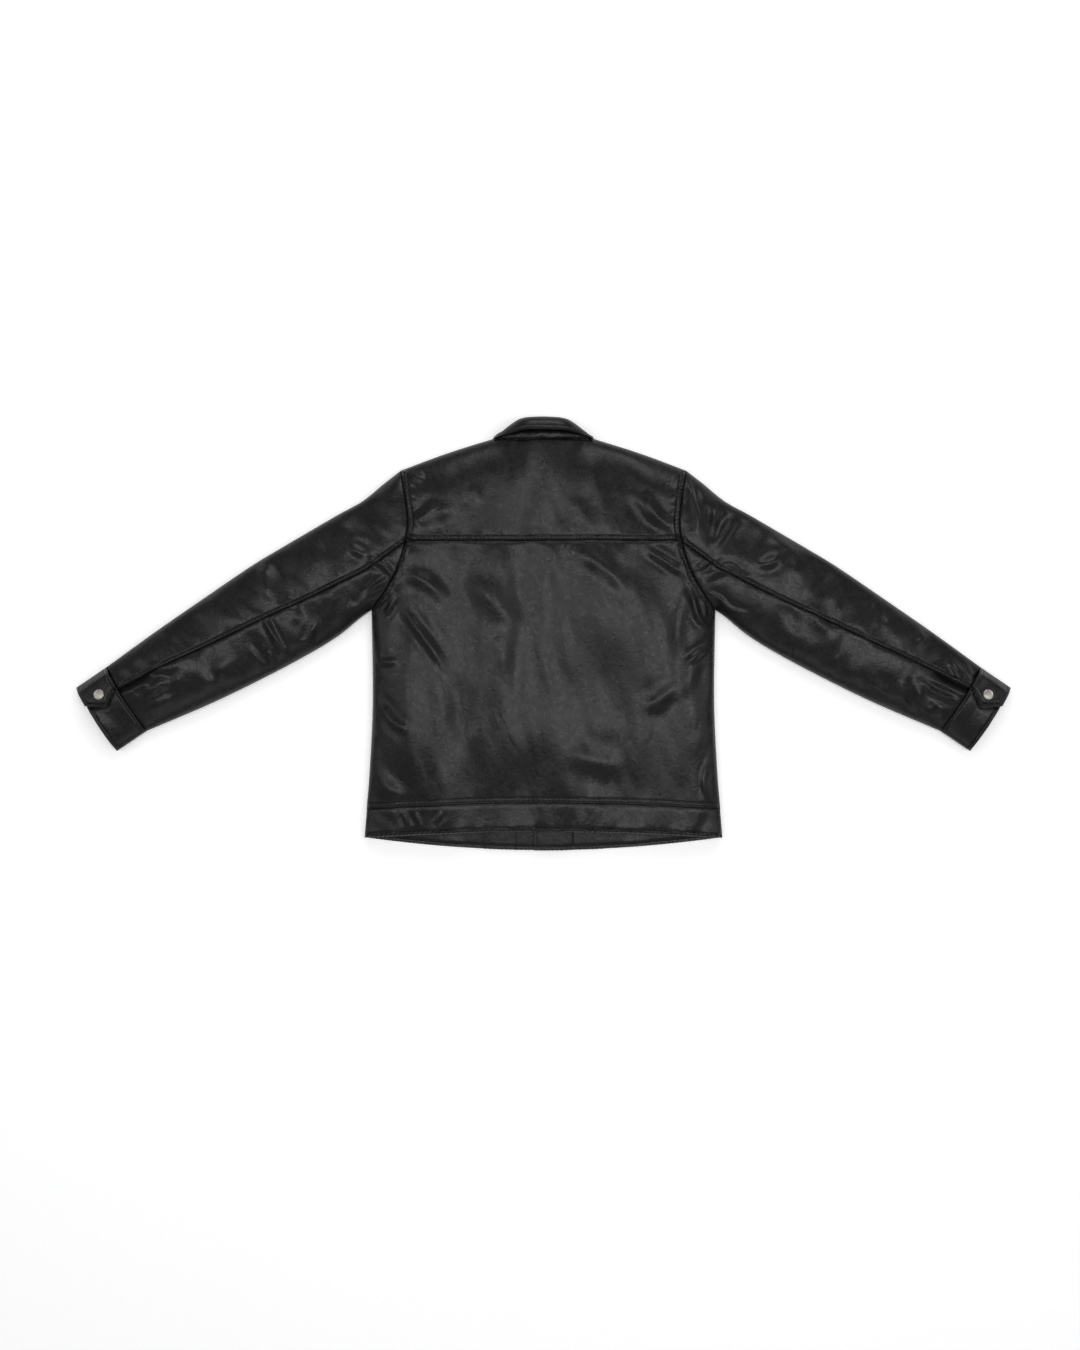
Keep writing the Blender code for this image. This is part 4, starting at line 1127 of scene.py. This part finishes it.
def make_cuff(side):
    name = NAMES[side]
    u = shares(CUFF_LENGTH, 2.4, SEAM_STEPS[:12], SEAM_STEPS[:13]) * CUFF_LENGTH
    width = np.full_like(u, CUFF_WIDTH)
    over = span(np.full_like(u, UNDERLAP), np.zeros_like(u), width, np.zeros(1), FOLD_STEPS, 34)
    under = span(np.zeros_like(u), np.ones_like(u), width, FOLD_STEPS[1:], FOLD_STEPS, 22)
    v = np.concatenate([over, under], 1)
    is_upper = np.r_[np.ones(over.shape[1], bool), np.zeros(under.shape[1], bool)]
    plan = cuff_plan(u[:, None], v)
    x, y = plan[..., 0] * side, plan[..., 1]
    beyond = (1 - v) * CUFF_WIDTH - tab_reach(u)[:, None]
    gap = 2.4 * np.exp(-((beyond - 1.2) / 2.4) ** 2)
    z = np.where(is_upper[None, :], upper(x, y) - gap, lower(x, y))
    piece = shell(f"cuff_{name}_band", np.dstack([x, y, z]), 0, BAND, leather)
    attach(piece, f"sleeve_{name}")
    sheet_of(piece, (0.230, 0.060), "leather", f"cuff_{name}")

    us = shares(CUFF_LENGTH, 2.0, SEAM_STEPS[:10], SEAM_STEPS[:10])[None, :] * CUFF_LENGTH
    rows = shares(50, 1.8, FOLD_STEPS, SEAM_STEPS[:10])[:, None]
    a = tab_reach(us) * rows
    plan = cuff_plan(us + 0 * a, 1 - a / CUFF_WIDTH)
    x, y = plan[..., 0] * side, plan[..., 1]
    rim = np.minimum(np.minimum(us, CUFF_LENGTH - us), tab_reach(us) - a)
    edge = np.minimum(rim, 30)
    groove = -1.3 * np.exp(-((edge - 5.6) / 1.3) ** 2) + 1.5 * np.exp(-((edge - 2.9) / 1.7) ** 2) \
        - 1.2 * np.exp(-(edge / 1.0) ** 2)
    puckers = 0.22 * np.sin((x * 0.9 + y * 0.7) * 1.25) * np.exp(-((edge - 3.5) / 2.2) ** 2)
    lift = (TAB_GAP + 3.0) * smoothstep(0, 14, a)
    wave = 1.2 * noise(x, y, 15, 18, 71 + side) * smoothstep(0, 12, a)
    z = upper_form(x, y) + lift + (groove + puckers) * smoothstep(0, 5, a) + wave
    piece = shell(f"cuff_tab_{name}_leather", np.dstack([x, y, z]), 0, 2.2, leather)
    start, end = [cuff_plan(30.0, 1 - d / CUFF_WIDTH) for d in (0.5, 9.0)]
    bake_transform(piece)
    sheet_of(piece, (0.060, 0.060), "leather", f"cuff_tab_{name}")


# ---------------- snaps

TURNS = 40


def turned(name, profile, place, axis=(0, 0, 1), ring=False):
    z = np.array(axis, float) / np.linalg.norm(axis)
    x = np.cross(z, (0.0, 1.0, 0.0))
    x /= np.linalg.norm(x)
    y = np.cross(z, x)
    vertices, rings = [], []
    for radius, height in profile:
        if radius == 0:
            rings.append([len(vertices)] * TURNS)
            vertices.append(np.array(place) + z * height)
            continue
        rings.append(list(range(len(vertices), len(vertices) + TURNS)))
        for k in range(TURNS):
            angle = 2 * math.pi * k / TURNS
            out = x * math.cos(angle) + y * math.sin(angle)
            vertices.append(np.array(place) + z * height + out * radius)
    pairs = list(zip(rings, rings[1:]))
    if ring:
        pairs.append((rings[-1], rings[0]))
    faces = []
    for low, high in pairs:
        for k in range(TURNS):
            m = (k + 1) % TURNS
            faces.append(tuple(dict.fromkeys((low[k], low[m], high[m], high[k]))))
    made = new_object(name, np.array(vertices), faces, nickel, math.radians(35))
    return made


CAP = ((0, -2.6), (1.3, -2.6), (1.3, 0), (7.9, 0), (8.35, 0.25), (8.5, 0.6), (8.4, 1.0), (8.05, 1.28),
       (7.6, 1.36), (7.2, 1.28), (6.95, 1.12), (6.6, 1.12), (5.4, 1.3), (3.6, 1.46), (1.8, 1.55), (0, 1.58))
SOCKET = ((2.1, 0), (4.9, 0), (5.2, 0.35), (5.1, 0.9), (4.4, 1.4), (3.2, 1.5), (2.5, 1.42), (2.1, 1.2))


def stud(shaft):
    return ((0, -shaft - 0.6), (3.7, -shaft - 0.6), (3.7, -shaft), (1.3, -shaft), (1.3, 0), (4.7, 0),
            (5.0, 0.2), (4.7, 0.45), (3.0, 0.5), (1.5, 0.55), (1.35, 1.0), (1.6, 1.4), (1.45, 1.75),
            (0.8, 1.9), (0, 1.92))


def make_cuff_snaps(side):
    name = NAMES[side]
    x, y = cuff_plan(0.5 * CUFF_LENGTH, 1 - TAB_SNAP / CUFF_WIDTH)
    probe = 2.0
    px, py = np.array([x + probe, x - probe, x, x]), np.array([y, y, y + probe, y - probe])
    h = upper_form(px, py)
    axis = np.array([-(h[0] - h[1]) / (2 * probe) * side, -(h[2] - h[3]) / (2 * probe), 1.0])
    axis /= np.linalg.norm(axis)
    base = np.array([x * side, y, float(upper_form(np.array([x]), np.array([y]))[0])])
    cap = turned(f"cuff_snap_cap_{name}", CAP, base + axis * (TAB_GAP + 2.3), axis)
    socket = turned(f"cuff_snap_socket_{name}", SOCKET, base + axis * (TAB_GAP - 0.4), -axis, ring=True)
    for piece, node_name in ((cap, "cap"), (socket, "socket")):
        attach(piece, f"cuff_tab_{name}")
        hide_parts(f"cuff_{node_name}_{name}")
    piece = turned(f"cuff_snap_stud_{name}", stud(BAND + 0.9), base + axis * 0.4, axis)
    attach(piece, f"sleeve_{name}")
    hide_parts(f"cuff_stud_{name}")


def make_front_snaps():
    """The flange of the lowest stud lies inside the waistband, and the others lie on the facing."""
    stack = LEATHER + LAYER_GAP + FACING
    down, up = (0, 0, -1), (0, 0, 1)
    for number, y in enumerate(SNAP_YS, 1):
        shaft = stack + (0.6 if number < len(SNAP_YS) else -1.5)
        parts = (("cap", CAP, (0, y, FLAP_LIFT - 0.2), down, False, "left"),
                 ("socket", SOCKET, (0, y, FLAP_LIFT + stack + 0.2), up, True, "left"),
                 ("stud", stud(shaft), (0, y, FLAP_LIFT + OVERLAP_LIFT - 0.3), down, False, "right"))
        for kind, profile, place, axis, ring, owner in parts:
            piece = turned(f"front_snap_{kind}_{number}", profile, place, axis, ring)
            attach(piece, f"front_{owner}_flap")
            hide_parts(f"front_{kind}_{number}")


make_back()
make_back_band()
make_collar()
for each in (-1, 1):
    make_front_side(each)
    make_front(each)
    make_sleeve(each)
    make_cuff(each)
    make_cuff_snaps(each)
make_front_snaps()


# ---------------- threads

def keep_x(low, high, side):
    return lambda x, y: (x * side > low) & (x * side < high)


def make_threads():
    for side in (-1, 1):
        name = NAMES[side]
        flip = np.array((side, 1.0))
        yoke = cut(dense(YOKE_LINE) + (0, YOKE_STITCH), keep_x(1, 220, side))
        arm = offset_line(dense(ARM_POINTS), ARM_STITCH) * flip
        arm_above = cut(arm, lambda x, y: (y > YOKE_SEAM + 2) & (y < 262))
        arm_below = cut(arm, lambda x, y: (y < YOKE_SEAM - 2) & (y > 52))
        sleeve = offset_line(dense(SIDE_SEAMS[1][0]), SLEEVE_STITCH) * flip
        for part, lines in (("yoke", [yoke, arm_above]), ("back", [arm_below]), ("sleeve", [sleeve[3:-3]])):
            bends_at_arm(stitches(f"thread_{part}_{name}", lines, upper), side)
        lines = []
        for seam, distance_in in ((CUFF_SEAM, -CUFF_STITCH), (CUFF_END[::-1], CUFF_END_STITCH)):
            points = offset_line(dense(seam), distance_in) * flip
            lines.append(points[2:int(0.52 * len(points))])
        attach(stitches(f"thread_cuff_{name}", lines, upper), f"sleeve_{name}")
    lines = [cut(offset_line(dense(BAND_LINE), amount), lambda x, y: np.abs(x) < 279)
             for amount in BAND_STITCHES[::-1]]
    lines.append(cut(offset_line(dense(HEM_LINE), -HEM_STITCH), lambda x, y: np.abs(x) < 282))
    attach(stitches("thread_waistband", lines, upper), "torso")


make_threads()

# ---------------- floor, light and camera

FRAME_WIDTH = 1.765
EYE = 2.8
LOOK = (-0.0057, -0.0654)
FLOOR = -0.0004
FLOOR_SIZE = 6.0
GLOW = 0.27

# Soft boxes: (name, place, target, size, watts)
LIGHTS = (
    ("middle_box", (0.04, 0.1, 3.1), (0.04, 0.1, 0), (0.42, 1.2), 9.8),
    ("right_box", (1.34, -0.1, 3.0), (1.24, -0.1, 0), (0.55, 1.8), 20),
    ("left_box", (-1.26, 0.1, 3.0), (-1.16, 0.1, 0), (0.55, 1.4), 14.5),
    ("back", (0.3, 3.4, 2.4), (0, 0, 0), (3.0, 1.5), 46),
    ("right", (3.3, 0.3, 2.4), (0, 0, 0), (2.0, 2.0), 14),
    ("left", (-3.3, 0.3, 2.4), (0, 0, 0), (2.0, 2.0), 14),
    ("front", (0, -3.4, 2.4), (0, 0, 0), (3.0, 1.5), 14),
)


def make_stage():
    mesh = bpy.data.meshes.new("floor")
    corners = ((-1, -1), (1, -1), (1, 1), (-1, 1))
    mesh.from_pydata([(x * FLOOR_SIZE, y * FLOOR_SIZE, FLOOR) for x, y in corners], [], [(0, 1, 2, 3)])
    made, tree, shader, place = start_material("white_floor")
    keep_rest(mesh)
    paper = texture(tree, place, "ShaderNodeTexNoise", 300, Detail=3.0)
    tree.links.new(mixed_colour(tree, paper.outputs["Fac"], (0.90, 0.90, 0.90), (0.93, 0.93, 0.93)),
                   shader.inputs["Base Color"])
    shader.inputs["Roughness"].default_value = 0.9
    shader.inputs["Specular IOR Level"].default_value = 0.0
    shader.inputs["Emission Color"].default_value = (1, 1, 1, 1)
    shader.inputs["Emission Strength"].default_value = GLOW
    mesh.materials.append(made)
    floor = bpy.data.objects.new("floor", mesh)
    bpy.context.scene.collection.objects.link(floor)


def area_light(name, place, target, size, power):
    light = bpy.data.lights.new(name, "AREA")
    light.shape = "RECTANGLE"
    light.size, light.size_y = size
    light.energy = power
    made = bpy.data.objects.new(name, light)
    made.location = place
    made.rotation_euler = (Vector(target) - Vector(place)).to_track_quat("-Z", "Y").to_euler()
    bpy.context.scene.collection.objects.link(made)


def make_light_and_camera():
    scene = bpy.context.scene
    world = bpy.data.worlds.new("studio")
    world.use_nodes = True
    world.node_tree.nodes["Background"].inputs["Color"].default_value = (0.98, 0.98, 1.0, 1)
    world.node_tree.nodes["Background"].inputs["Strength"].default_value = 0.27
    scene.world = world
    for light in LIGHTS:
        area_light(*light)
    scene.view_settings.view_transform = "Standard"
    camera = bpy.data.cameras.new("camera")
    camera.sensor_fit = "HORIZONTAL"
    camera.lens = camera.sensor_width * EYE / FRAME_WIDTH
    made = bpy.data.objects.new("camera", camera)
    made.location = (*LOOK, EYE + 0.02)
    scene.collection.objects.link(made)
    scene.camera = made


make_stage()
make_light_and_camera()
